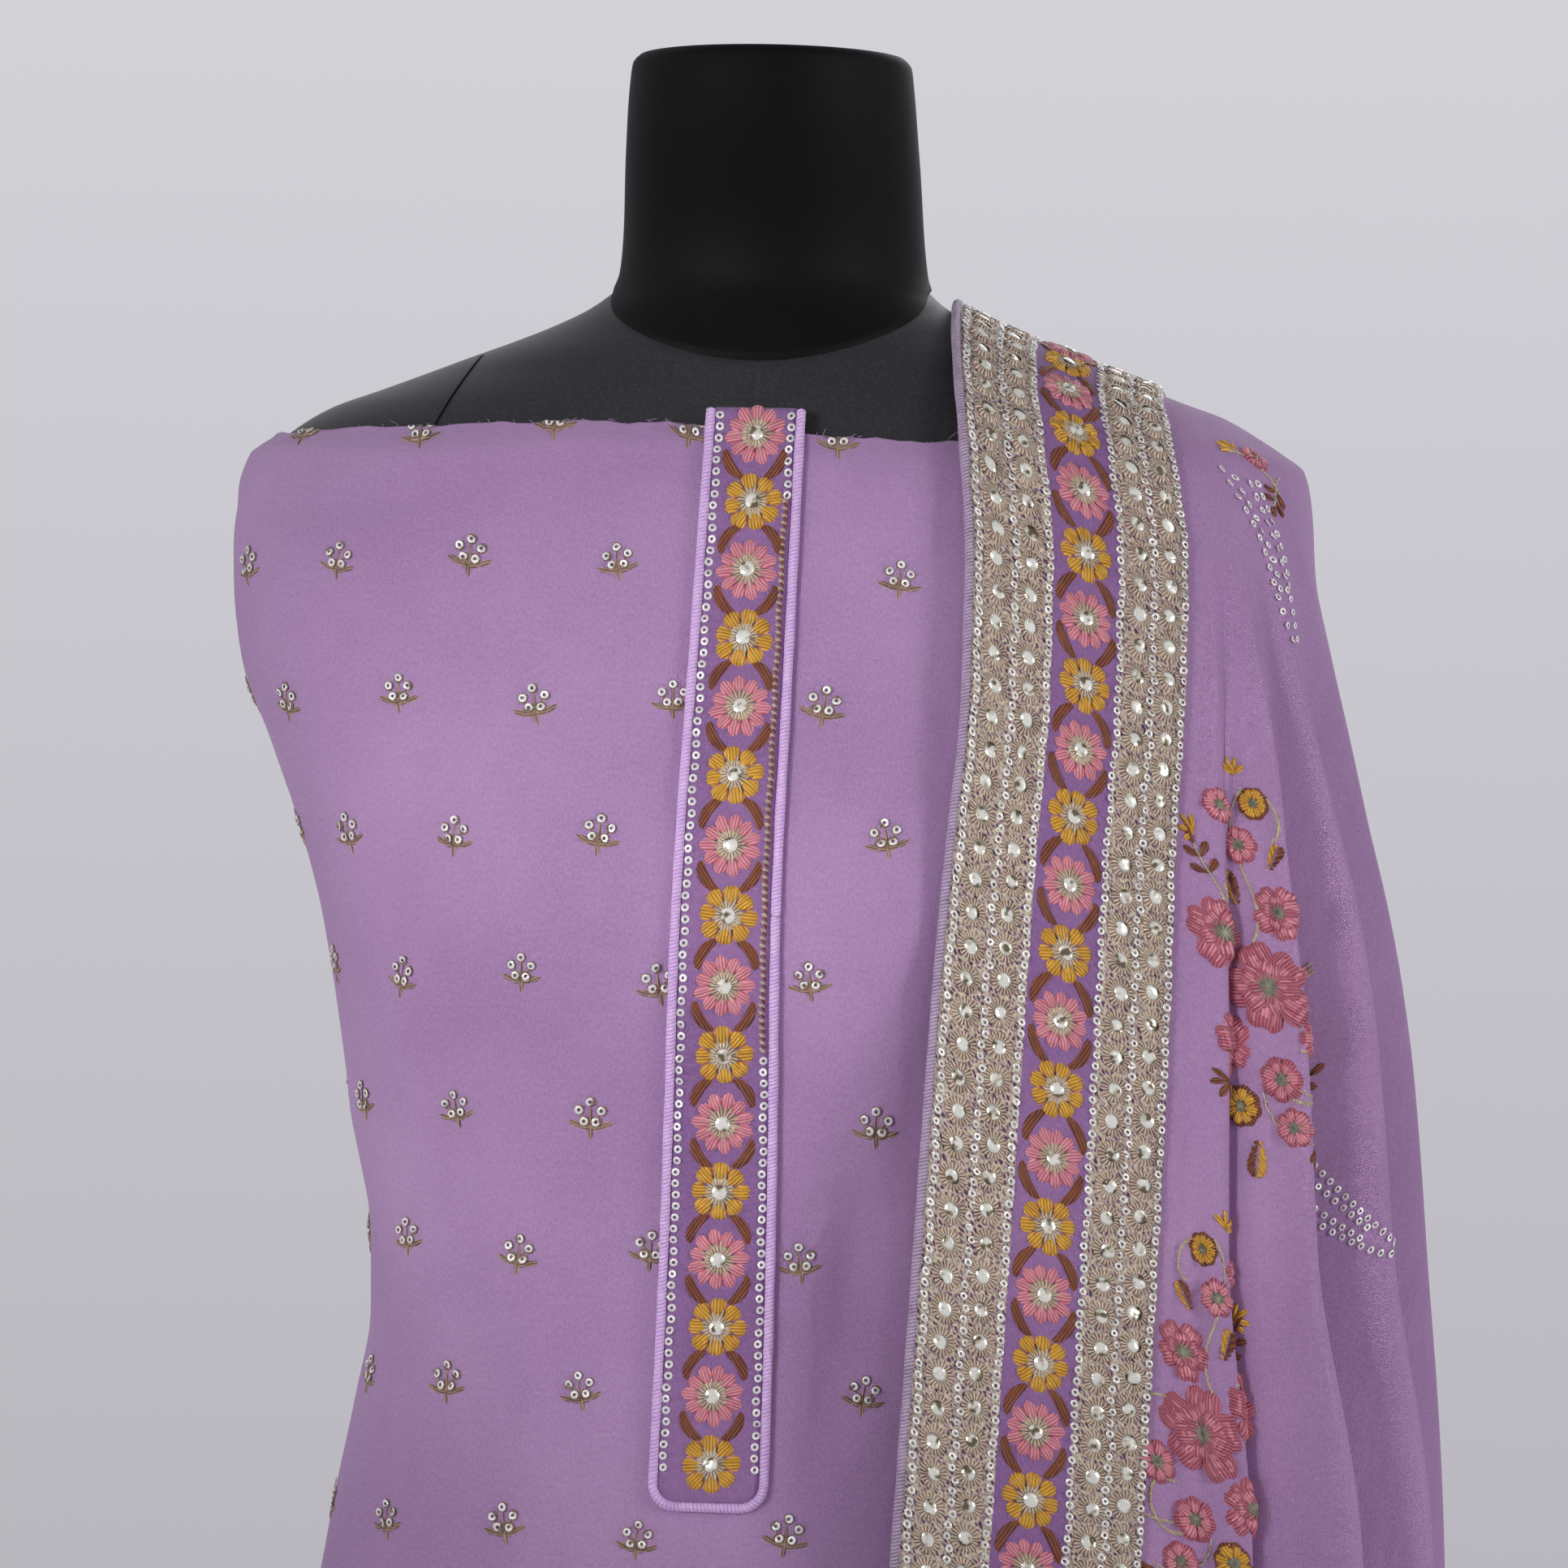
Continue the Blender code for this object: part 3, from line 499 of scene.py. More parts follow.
LOOKS = {
    "kameez": georgette("kameez_crepe", srgb(194, 156, 202), srgb(168, 129, 178), 0.0006),
    "dupatta": georgette("dupatta_crepe", srgb(194, 155, 201), srgb(168, 127, 177), 0.0008),
    "salwar": georgette("salwar_plain_weave", srgb(190, 151, 197), srgb(164, 125, 174), 0.0005),
    "placket_ground": georgette("placket_ground", srgb(164, 124, 176), srgb(134, 94, 150), 0.0003),
    # For the threads, the second colour is the thread's own deeper tone together with painted shade in the
    # grooves between strands
    "bright_piping": thread(
        "bright_piping", srgb(240, 206, 252), srgb(206, 160, 228), 0, 0.5, 0.0014, 0.0003
    ),
    "dull_piping": thread("dull_piping", srgb(206, 184, 210), srgb(144, 118, 152), 0, 0.6, 0.0013, 0.0004),
    "yellow": thread("yellow_thread", srgb(250, 194, 72), srgb(198, 132, 38), 0, 0.5, 0.0012, 0.0006),
    "pink": thread("pink_thread", srgb(252, 168, 180), srgb(206, 112, 134), 0, 0.5, 0.0012, 0.0006),
    "rose": thread("deep_rose_thread", srgb(216, 122, 140), srgb(158, 68, 92), 0, 0.5, 0.0012, 0.0006),
    "brown": thread("brown_thread", srgb(152, 86, 48), srgb(92, 40, 38), 0, 0.5, 0.0012, 0.0005),
    "zari": thread("zari_thread", srgb(244, 222, 196), srgb(126, 96, 94), 0.15, 0.42, 0.0011, 0.0006),
    "antique": thread(
        "antique_zari_thread", srgb(192, 160, 136), srgb(112, 84, 78), 0.15, 0.45, 0.0011, 0.0005
    ),
    "cream": thread("cream_zari_thread", srgb(238, 222, 190), srgb(176, 152, 118), 0.15, 0.42),
    "sage": thread("sage_zari_thread", srgb(186, 184, 158), srgb(84, 88, 76), 0.25, 0.45),
    "sequin": shiny("sequin", srgb(255, 253, 248), 0.26, metallic=0.16),
}


def form_look(name, light, dark, roughness, sheen, shine):
    look = Look(name)
    weave = look.noise(look.coords("Object", (900, 900, 1400)), 1.0, 2.0, 0.6)
    look.set(Base_Color=look.ramp(weave, [(0.3, dark), (0.75, light)]), Roughness=roughness)
    look.set(Sheen_Weight=sheen, Sheen_Roughness=0.4, Specular_IOR_Level=shine)
    look.set(Normal=look.bump(weave, 0.00025, 0.5))
    return look.material


def steel_look():
    look = Look("black_painted_steel")
    peel = look.noise(look.coords("Object"), 420.0, 3.0)
    wear = look.noise(look.coords("Object"), 14.0, 4.0)
    look.set(Base_Color=look.ramp(wear, [(0.35, srgb(22, 22, 24)), (0.75, srgb(34, 34, 36))]))
    look.set(Roughness=look.ramp(wear, [(0.3, (0.34, 0.34, 0.34, 1)), (0.8, (0.5, 0.5, 0.5, 1))]))
    look.set(Normal=look.bump(peel, 0.00015, 0.35))
    return look.material


def net_look():
    """Close zari stitching over the lavender ground of the border. The gaps between stitches are painted dark
    purple, darker than the ground cloth: painted shade in the hollows, on the same pattern as the bump.
    """
    look = Look("zari_net")
    cells = look.node("TexVoronoi", {"feature": "DISTANCE_TO_EDGE"}, Vector=look.coords("UV"), Scale=520.0)
    cells = cells.outputs["Distance"]
    loops = look.noise(look.coords("UV"), 780.0, 4.0, 0.75)
    mixed = look.math("ADD", look.math("MULTIPLY", cells, -0.9), look.math("MULTIPLY", loops, 1.25))
    # The darkest stop is the lavender ground showing through the gaps, darkened with painted shade
    stops = [
        (0.30, srgb(88, 54, 92)),
        (0.42, srgb(164, 128, 152)),
        (0.54, srgb(228, 208, 190)),
        (0.68, srgb(255, 243, 214)),
    ]
    look.set(Base_Color=look.ramp(mixed, stops), Roughness=0.46, Metallic=0.1)
    look.set(Normal=look.bump(mixed, 0.0012, 1.0))
    return look.material


def mirror_look():
    """Cut glass over foil: a pale base colour with darker facets that differ from disc to disc, painted
    reflection of bright and dark surroundings in the glass.
    """
    look = Look("mirror_glass")
    facets = look.noise(look.coords("Object"), 330.0, 1.0, 0.4)
    # painted reflection: the pale and dark facet colours stand for the studio mirrored in the glass
    stops = [(0.34, srgb(120, 108, 88)), (0.42, srgb(222, 214, 194)), (0.50, srgb(255, 253, 244))]
    look.set(Base_Color=look.ramp(facets, stops), Metallic=0.30, Roughness=0.2)
    look.set(Normal=look.bump(facets, 0.0006, 0.8))
    return look.material


LOOKS["net"] = net_look()
LOOKS["mirror"] = mirror_look()
LOOKS["neck"] = form_look("neck_cap_satin", srgb(13, 14, 17), srgb(8, 8, 10), 0.62, 0.0, 0.16)
LOOKS["chest"] = form_look("chest_jersey", srgb(58, 58, 62), srgb(34, 34, 38), 0.55, 0.22, 0.32)
LOOKS["steel"] = steel_look()


# Camera, light and floor

def build_stage():
    scene = bpy.context.scene
    distance = 2.5
    azimuth = math.radians(5.0)
    aim = Vector((0.0078 * math.cos(azimuth), 0.0078 * math.sin(azimuth), 1.215))
    camera = bpy.data.objects.new("camera", bpy.data.cameras.new("camera"))
    scene.collection.objects.link(camera)
    camera.location = aim + Vector((math.sin(azimuth), -math.cos(azimuth), 0.0)) * distance
    facing = (aim - camera.location).to_track_quat("-Z", "Y")
    roll = (facing @ Vector((0, 0, 1))).normalized()
    turn = Quaternion(roll, math.radians(1.2))
    camera.rotation_euler = (turn @ facing).to_euler()
    camera.data.sensor_fit = "HORIZONTAL"
    camera.data.angle = 2 * math.atan(0.2995 / distance)
    scene.camera = camera
    scene.view_settings.view_transform = "Standard"

    world = bpy.data.worlds.new("studio")
    scene.world = world
    world.use_nodes = True
    nodes = world.node_tree
    background = nodes.nodes["Background"]
    coords = nodes.nodes.new("ShaderNodeTexCoord")
    split = nodes.nodes.new("ShaderNodeSeparateXYZ")
    ramp = nodes.nodes.new("ShaderNodeValToRGB")
    scale = nodes.nodes.new("ShaderNodeMapRange")
    nodes.links.new(coords.outputs["Generated"], split.inputs["Vector"])
    nodes.links.new(split.outputs["Z"], scale.inputs["Value"])
    scale.inputs["From Min"].default_value = -1.0
    nodes.links.new(scale.outputs["Result"], ramp.inputs["Fac"])
    stops = [
        (0.25, srgb(70, 68, 70)),
        (0.40, srgb(176, 172, 180)),
        (0.56, srgb(211, 210, 216)),
        (0.61, srgb(212, 211, 217)),
        (0.64, srgb(96, 96, 100)),
        (0.72, srgb(240, 240, 246)),
        (0.90, srgb(150, 150, 156)),
    ]
    while len(ramp.color_ramp.elements) < len(stops):
        ramp.color_ramp.elements.new(0.5)
    for element, (at, colour) in zip(ramp.color_ramp.elements, stops):
        element.position = at
        element.color = colour
    front = nodes.nodes.new("ShaderNodeMapRange")
    nodes.links.new(split.outputs["Y"], front.inputs["Value"])
    for key, value in (("From Min", -0.55), ("From Max", 0.35), ("To Min", 0.40), ("To Max", 1.0)):
        front.inputs[key].default_value = value
    dimmed = nodes.nodes.new("ShaderNodeVectorMath")
    dimmed.operation = "SCALE"
    nodes.links.new(ramp.outputs["Color"], dimmed.inputs["Vector"])
    nodes.links.new(front.outputs["Result"], dimmed.inputs["Scale"])
    nodes.links.new(dimmed.outputs["Vector"], background.inputs["Color"])
    background.inputs["Strength"].default_value = 1.0

    def panel(name, at, size, energy, aim_at=(0, 0, 1.15), spread=180):
        light = bpy.data.objects.new(name, bpy.data.lights.new(name, "AREA"))
        light.data.shape = "RECTANGLE"
        light.data.size, light.data.size_y = size
        light.data.energy = energy
        light.data.spread = math.radians(spread)
        scene.collection.objects.link(light)
        light.location = at
        light.rotation_euler = (Vector(aim_at) - Vector(at)).to_track_quat("-Z", "Y").to_euler()

    panel("key_softbox", (-0.70, -1.20, 1.34), (0.5, 0.5), 0.46, (-0.03, -0.1, 1.185), 26)
    panel("left_softbox", (-1.8, -1.2, 1.3), (0.8, 1.0), 3.8)
    panel("side_softbox", (2.1, -1.3, 1.5), (0.7, 1.2), 19)
    panel("back_softbox", (0.6, 2.4, 2.4), (1.4, 1.0), 12)

    look = Look("pale_floor")
    speck = look.noise(look.coords("Object"), 40.0, 4.0)
    look.set(
        Base_Color=look.ramp(speck, [(0.3, srgb(206, 204, 208)), (0.7, srgb(214, 212, 216))]), Roughness=0.8
    )
    turns = np.linspace(0, 2 * math.pi, 64, endpoint=False)
    rings = [
        np.stack([r * np.cos(turns), r * np.sin(turns), 0 * turns - 0.0004], -1) for r in (4.5, 2.0, 0.01)
    ]
    floor = mesh_object("floor", np.concatenate(rings), grid_faces(3, 64, True), look.material, body=None)


build_stage()


# The form and its stand

def neck_seam(angle):
    front = np.clip(-np.sin(angle), 0, 1)
    return 1.4030 - 0.0310 * front**1.6 + 0.004 * np.clip(np.sin(angle), 0, 1)


def build_form():
    above = np.concatenate(
        [np.linspace(1.489, 1.472, 14), np.linspace(1.468, 1.412, 22), np.linspace(1.4095, 1.404, 8)]
    )
    below = np.concatenate(
        [np.linspace(1.402, 1.30, 70), np.linspace(1.295, 0.785, 36), np.linspace(0.775, FORM_BOTTOM, 6)]
    )
    heights = np.concatenate([above, [1.4031, 1.4030], below])
    seam_row = len(above) + 1
    seam_side = 1.5 * math.pi + np.array([-0.030, -0.018, -0.009, 0.009, 0.018, 0.030])
    angles = np.sort(np.concatenate([np.linspace(0, 2 * math.pi, 144, endpoint=False), seam_side]))
    z, angle = np.meshgrid(heights, angles, indexing="ij")
    seam = neck_seam(angle)
    pull = np.clip(1 - np.abs(z - 1.403) / 0.066, 0, 1) ** 1.5
    z = z + (seam - 1.403) * pull
    groove = -0.0011 * np.exp(-(((z - seam) / 0.0011) ** 2))
    proud = 0.0006 * smooth_step((z - seam) / 0.0010)
    x = ring_radius(FORM, z, angle) * np.cos(angle)
    middle = np.exp(-((x / 0.0009) ** 2)) * (z < seam - 0.001)
    points = around(FORM, z, angle, groove + proud - 0.0010 * middle)
    points[..., 1] -= NECK_LEAN * smooth_step((z - NECK_LEAN_FROM) / (NECK_LEAN_TO - NECK_LEAN_FROM))
    inner = np.array([0.0, 0.5, 0.95])[:, None, None]
    top = points[:1].mean(axis=1, keepdims=True) * (1 - inner) + points[:1] * inner
    bottom = points[-1:].mean(axis=1, keepdims=True) * (1 - inner) + points[-1:] * inner
    points = np.concatenate([top, points, bottom[::-1]])
    faces = grid_faces(len(points), len(angles), wrap=True)
    verts = points.reshape(-1, 3)
    which = np.repeat(np.arange(len(points) - 1) >= seam_row + len(inner), len(angles)).astype(int)
    looks = [LOOKS["neck"], LOOKS["chest"]]
    made = mesh_object("form_cover", verts, faces, None, looks=looks, which=which)
    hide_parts("dress_form")
    for name, side in (("left", 1), ("right", -1)):
        t = np.linspace(0, 1, 40)
        height = 1.3760 - 0.033 * t
        across = side * (0.1085 + 0.0140 * t)
        quarter = np.linspace(-math.pi / 2, 0, 240)
        reach = [ring_radius(FORM, h, quarter) * np.cos(quarter) for h in height]
        turn = np.array([np.interp(abs(x), far, quarter) for x, far in zip(across, reach)])
        turn = turn if side > 0 else -math.pi - turn
        path = around(FORM, height, turn, 0.0001)
        ring = tube_mesh(path, 0.0005, 6)
        mesh_object(
            f"form_seam_{name}",
            ring.reshape(-1, 3),
            grid_faces(40, 6, True),
            LOOKS["neck"],
            uv=ring.reshape(-1, 3)[:, :2],
        )


def dress_stand():
    for name in ("stand_pole", "stand_base"):
        for holder in bpy.data.objects[name].material_slots:
            holder.material = LOOKS["steel"]


build_form()
dress_stand()


# The kameez

def kameez_fold(z, angle):
    from_back = np.arctan2(np.sin(angle - math.pi / 2), np.cos(angle - math.pi / 2))
    depth = 0.0095 * smooth_step((0.80 - z) / 0.46) * smooth_step((np.abs(from_back) + 0.1) / 0.7)
    return depth * np.cos(KAMEEZ_FOLDS * angle + 1.1 * np.sin(2 * angle + 0.6) + 0.5 * np.sin(angle))


def kameez_point(z, angle, out=0.0):
    return around(KAMEEZ, z, angle, out + kameez_fold(z, angle))


def kameez_top(angle):
    front = np.clip(-np.sin(angle), 0, 1) ** 2
    reach = 0.14 * np.cos(angle)
    return KAMEEZ_TOP + (KAMEEZ_TOP_RISE - KAMEEZ_TOP_SLOPE * reach) * front


# Soft creases of the kameez: middle x and z, direction in degrees, half length, half width, height
Crease = namedtuple("Crease", "x z turn half_length half_width rise")
CREASES = [
    Crease(-0.120, 1.335, 3, 0.070, 0.0045, 0.0013),
    Crease(-0.130, 1.318, 8, 0.060, 0.0060, -0.0009),
    Crease(-0.165, 1.300, -28, 0.040, 0.0070, 0.0012),
    Crease(-0.160, 1.275, -40, 0.050, 0.0080, -0.0010),
    Crease(-0.150, 1.245, -52, 0.050, 0.0080, 0.0010),
    Crease(-0.060, 1.334, -3, 0.050, 0.0050, -0.0007),
    Crease(0.050, 1.325, -8, 0.030, 0.0050, 0.0007),
    Crease(-0.120, 1.130, 62, 0.050, 0.0080, 0.0012),
    Crease(-0.105, 1.080, 75, 0.060, 0.0080, -0.0011),
    Crease(-0.120, 1.020, 100, 0.060, 0.0090, 0.0013),
    Crease(-0.075, 1.000, 96, 0.070, 0.0090, 0.0009),
    Crease(0.045, 1.020, 84, 0.080, 0.0090, -0.0010),
    Crease(0.060, 1.120, 80, 0.060, 0.0080, 0.0009),
]


def crease_field(x, z):
    total = 0.0 * x
    for c in CREASES:
        t = math.radians(c.turn)
        a = (x - c.x) * math.cos(t) + (z - c.z) * math.sin(t)
        b = -(x - c.x) * math.sin(t) + (z - c.z) * math.cos(t)
        b = b - 2.0 * a * a
        total = total + 2.1 * c.rise * np.exp(-((a / c.half_length) ** 2) - (b / c.half_width) ** 2)
    return total


def kameez_surface(z, angle, out=0.0):
    base = kameez_point(z, angle, out)
    return kameez_point(z, angle, out + crease_field(base[..., 0], z) * (base[..., 1] < 0))


def build_kameez():
    share = np.linspace(0, 1, 171)
    top = kameez_top(math.pi / 2 + 2 * math.pi * share)
    top = top + 0.0005 * np.sin(2 * math.pi * 23 * share) + 0.0003 * np.sin(2 * math.pi * 61 * share)
    drops = np.concatenate([[0, 0.0008, 0.002, 0.004], np.linspace(0.007, 0.08, 24)])
    body = np.concatenate([np.linspace(1.258, 0.86, 78), np.linspace(0.852, KAMEEZ_HEM, 26)])
    z = np.concatenate([top[None, :] - drops[:, None], np.repeat(body[:, None], len(share), 1)])
    half_lap = along(LAP, "half_angle", z)
    angle = math.pi / 2 - half_lap + (2 * math.pi + 2 * half_lap) * share
    lap_from = 1 - 2 * half_lap / (2 * math.pi + 2 * half_lap)
    out = LAP_STEP * smooth_step((share - lap_from + 0.07) / 0.06)
    points = kameez_surface(z, angle, out)
    made = cloth_object("kameez_length", points, LOOKS["kameez"], CLOTH)
    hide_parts("kameez_cloth")
    flat = (float(arc(points, 1)[:, -1].mean()), float(arc(points, 0)[-1].mean()))
    return points


KAMEEZ_GRID = build_kameez()


# The dupatta

def border_x(share, z):
    inner = along(BORDER_LINES, "inner_edge", z)
    outer = along(BORDER_LINES, "outer_edge", z)
    return inner + share * (outer - inner)


def ridge_height(x_of_z, count):
    low, high = np.full(count, 1.30), np.full(count, 1.405)
    for _ in range(34):
        middle = (low + high) / 2
        wider = along(DRAPE, "half_width", middle) > x_of_z(middle)
        low = np.where(wider, middle, low)
        high = np.where(wider, high, middle)
    return (low + high) / 2


def drape_point(x, z, side):
    n = along(DRAPE, "squareness", z)
    depth = np.where(side < 0, along(DRAPE, "front", z), along(DRAPE, "back", z))
    share = np.clip(x / along(DRAPE, "half_width", z), 0, 1)
    return np.stack([x, side * depth * (1 - share**n) ** (1 / n), z], -1)


# Fine ripples of the dupatta: place across in turns, its half width, heights it fades between, rise
Ripple = namedtuple("Ripple", "turn half_turn top bottom rise slant")
RIPPLES = [
    Ripple(-0.34, 0.060, 1.19, 0.40, 0.0030, 0.25),
    Ripple(-0.14, 0.050, 1.13, 0.40, 0.0026, 0.35),
    Ripple(0.24, 0.050, 1.10, 0.40, -0.0024, 0.20),
    Ripple(0.62, 0.080, 1.22, 0.60, 0.0022, 0.55),
    Ripple(0.95, 0.090, 1.30, 0.80, 0.0024, 0.40),
    Ripple(1.42, 0.080, 1.28, 0.60, 0.0022, 0.30),
    Ripple(1.95, 0.100, 1.27, 0.50, 0.0026, 0.20),
    Ripple(2.50, 0.090, 1.24, 0.50, 0.0022, 0.10),
    Ripple(3.30, 0.100, 1.22, 0.50, 0.0024, 0.00),
    Ripple(4.40, 0.100, 1.22, 0.50, 0.0024, 0.00),
    Ripple(5.30, 0.090, 1.20, 0.50, 0.0024, -0.10),
    Ripple(6.40, 0.080, 1.20, 0.50, 0.0022, -0.20),
    Ripple(-0.10, 0.120, 1.30, 1.16, 0.0022, 2.6),
    Ripple(0.50, 0.140, 1.32, 1.14, 0.0020, 3.2),
    Ripple(1.25, 0.160, 1.33, 1.16, 0.0020, 3.6),
]


def ripple_field(turns, z):
    total = 0.0 * z
    for r in RIPPLES:
        middle = (r.top + r.bottom) / 2
        place = (turns - r.turn - r.slant * (z - middle)) / r.half_turn
        window = smooth_step((r.top - z) / 0.10) * smooth_step((z - r.bottom) / 0.10)
        total = total + 1.7 * r.rise * np.exp(-(place**2)) * window
    return total


def dupatta_surface(border_columns, side_columns, upper_rows, lower_rows):
    """Rows down from the shoulder ridge; columns from the front inner edge round to the back inner edge."""
    ramp = np.linspace(0, 1, border_columns)
    first, last = FOLD_PLACES[0].turn, FOLD_PLACES[-1].turn
    turns = np.linspace(first, last, side_columns + 2)[1:-1]
    fold_share = np.interp(turns, [r.turn for r in FOLD_PLACES], [r.share for r in FOLD_PLACES])
    edge_share = np.concatenate([ramp, np.ones(side_columns), ramp[::-1]])
    share = np.concatenate([np.ones(border_columns), fold_share, -np.ones(border_columns)])
    turns = np.concatenate([np.full(border_columns, first), turns, np.full(border_columns, last)])
    on_border = np.abs(share) >= 1
    side = np.where(share > 0, -1.0, 1.0)
    size = np.abs(share)
    ridge_x = RIDGE_END - (RIDGE_END - RIDGE_START) * size
    ridge = ridge_height(lambda z: np.where(on_border, border_x(edge_share, z), ridge_x), len(share))
    hem = np.where(side < 0, FRONT_HEM, BACK_HEM)
    hem = hem + np.where(on_border, 0.0, along(DUPATTA_HEM, "height_over_hem", size))
    drops = 0.05 * np.linspace(0, 1, upper_rows) ** 2.2
    down = np.linspace(0, 1, lower_rows + 1)[1:, None]
    z = np.concatenate([ridge - drops[:, None], (ridge - 0.05) * (1 - down) + hem * down])
    half_width = along(DRAPE, "half_width", z)
    edge = border_x(1.0, z)
    crowding = along(FOLD_SIZES, "crowding", z)
    crowded = size / (1 + crowding - crowding * size)
    fan = smooth_step((ridge - z) / 0.06)
    low = (half_width - edge) * crowded**2
    high = (half_width - ridge_x - (edge - RIDGE_START) * size) * smooth_step(size / 0.3)
    x = half_width - np.maximum(low * fan + high * (1 - fan), 0.0)
    x = np.where(on_border, border_x(edge_share, z), x)
    points = drape_point(x, z, side)
    points[0, :, 1] = 0.0
    across = np.gradient(points, axis=1)
    across[..., 2] = 0
    across = unit(across)
    out = np.stack([across[..., 1], -across[..., 0], 0 * across[..., 0]], axis=-1)
    wave = np.cos(2 * math.pi * turns)
    rise = along(FOLD_SIZES, "rise", z) * smooth_step((1 - size) / 0.34)
    lean = -rise * FOLD_LEAN * wave * np.sign(share) * smooth_step(size / 0.4)
    ripples = ripple_field(turns + 0 * z, z) * smooth_step((1 - size) / 0.16)
    return points + out * (rise * (1 + wave) + ripples)[..., None] - across * lean[..., None]


BORDER_COLUMNS = 17
DUPATTA = dupatta_surface(BORDER_COLUMNS, 161, 26, 104)


def build_dupatta():
    made = cloth_object("dupatta_sheet", DUPATTA, LOOKS["dupatta"], CLOTH)
    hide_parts("dupatta_cloth")
    length = 2 * float(arc(DUPATTA, 0)[-1, BORDER_COLUMNS])


build_dupatta()


# The salwar

def leg_ring(side, z, angles):
    inner = LEG_SPLIT + LEG_SPLIT_GAP * side
    outer = side * along(LEG, "outer_edge", z)
    centre = (inner + outer) / 2
    half_width = np.abs(outer - inner) / 2
    half_depth = along(LEG, "half_depth", z)
    cos, sin = np.cos(angles), np.sin(angles)
    round_leg = ((cos / half_width) ** 2 + (sin / half_depth) ** 2) ** -0.5
    to_split = np.where(side * cos < 0, half_width / np.maximum(-side * cos, 1e-6), 9.0)
    flank = round_leg + 0 * to_split
    for _ in range(12):
        x = centre + flank * cos
        y = flank * sin
        belt = ring_radius(FORM, 0.80, np.arctan2(y, x)) + BELT_EASE
        flank = flank * (0.5 + 0.5 * belt / np.hypot(x, y))
    joined = (to_split**-12 + flank**-12) ** (-1 / 12)
    roundness = along(LEG, "roundness", z)
    pleat = along(LEG, "pleat", z) * np.cos(LEG_PLEATS * angles + 0.8 * np.sin(angles))
    radius = joined + (round_leg - joined) * roundness + pleat
    return np.stack([centre + radius * cos, radius * sin, z + 0 * radius], axis=-1)


def closed(points):
    """A ring grid with its first column repeated, so its texture coordinates run on."""
    return np.concatenate([points, points[:, :1]], axis=1)


def build_salwar():
    angles = np.linspace(0, 2 * math.pi, 90, endpoint=False)
    z, angle = np.meshgrid(np.linspace(BELT_TOP, BELT_BOTTOM, 20), angles, indexing="ij")
    points = around(FORM, np.maximum(z, 0.80), angle, BELT_EASE)
    points[..., 2] = z
    belt = cloth_object("salwar_waist", closed(points), LOOKS["salwar"], CLOTH)
    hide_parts("salwar_belt")
    float(arc(closed(points), 1)[:, -1].mean())
    for name, side in (("left", 1), ("right", -1)):
        heights = np.linspace(BELT_BOTTOM - 0.0003, CUFF_TOP + 0.0003, 56)
        leg = closed(np.array([leg_ring(side, h, angles) for h in heights]))
        made = cloth_object(f"salwar_{name}_leg", leg, LOOKS["salwar"], CLOTH)
        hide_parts(f"salwar_leg_{name}")
        flat = (float(arc(leg, 1)[:, -1].mean()), float(arc(leg, 0)[-1].mean()))
        cuff = closed(np.array([leg_ring(side, CUFF_TOP, angles) for _ in range(14)]))
        cuff[..., 2] = np.linspace(CUFF_TOP, CUFF_BOTTOM, 14)[:, None]
        made = cloth_object(f"salwar_{name}_cuff", cuff, LOOKS["salwar"], 0.0024)
        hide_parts(f"salwar_cuff_{name}")
        flat = (float(arc(cuff, 1)[:, -1].mean()), CUFF_TOP - CUFF_BOTTOM)


build_salwar()


# Embroidery: small shapes in two dimensions and a height, laid on a chart of the cloth

class Chart:
    """A sheet as positions by metres across (a) and metres along (b), on an even grid."""

    def __init__(self, points, a, b):
        self.points = points
        self.normals = grid_normals(points)
        self.a0, self.b0 = a[0], b[0]
        self.da, self.db = a[1] - a[0], b[1] - b[0]

    def place(self, a, b, height):
        rows, columns = self.points.shape[:2]
        j = np.clip((a - self.a0) / self.da, 0, columns - 1.001)
        i = np.clip((b - self.b0) / self.db, 0, rows - 1.001)
        i0, j0 = i.astype(int), j.astype(int)
        fi, fj = (i - i0)[..., None], (j - j0)[..., None]

        def mix(grid):
            low = grid[i0, j0] * (1 - fj) + grid[i0, j0 + 1] * fj
            high = grid[i0 + 1, j0] * (1 - fj) + grid[i0 + 1, j0 + 1] * fj
            return low * (1 - fi) + high * fi

        return mix(self.points) + unit(mix(self.normals)) * height[..., None]


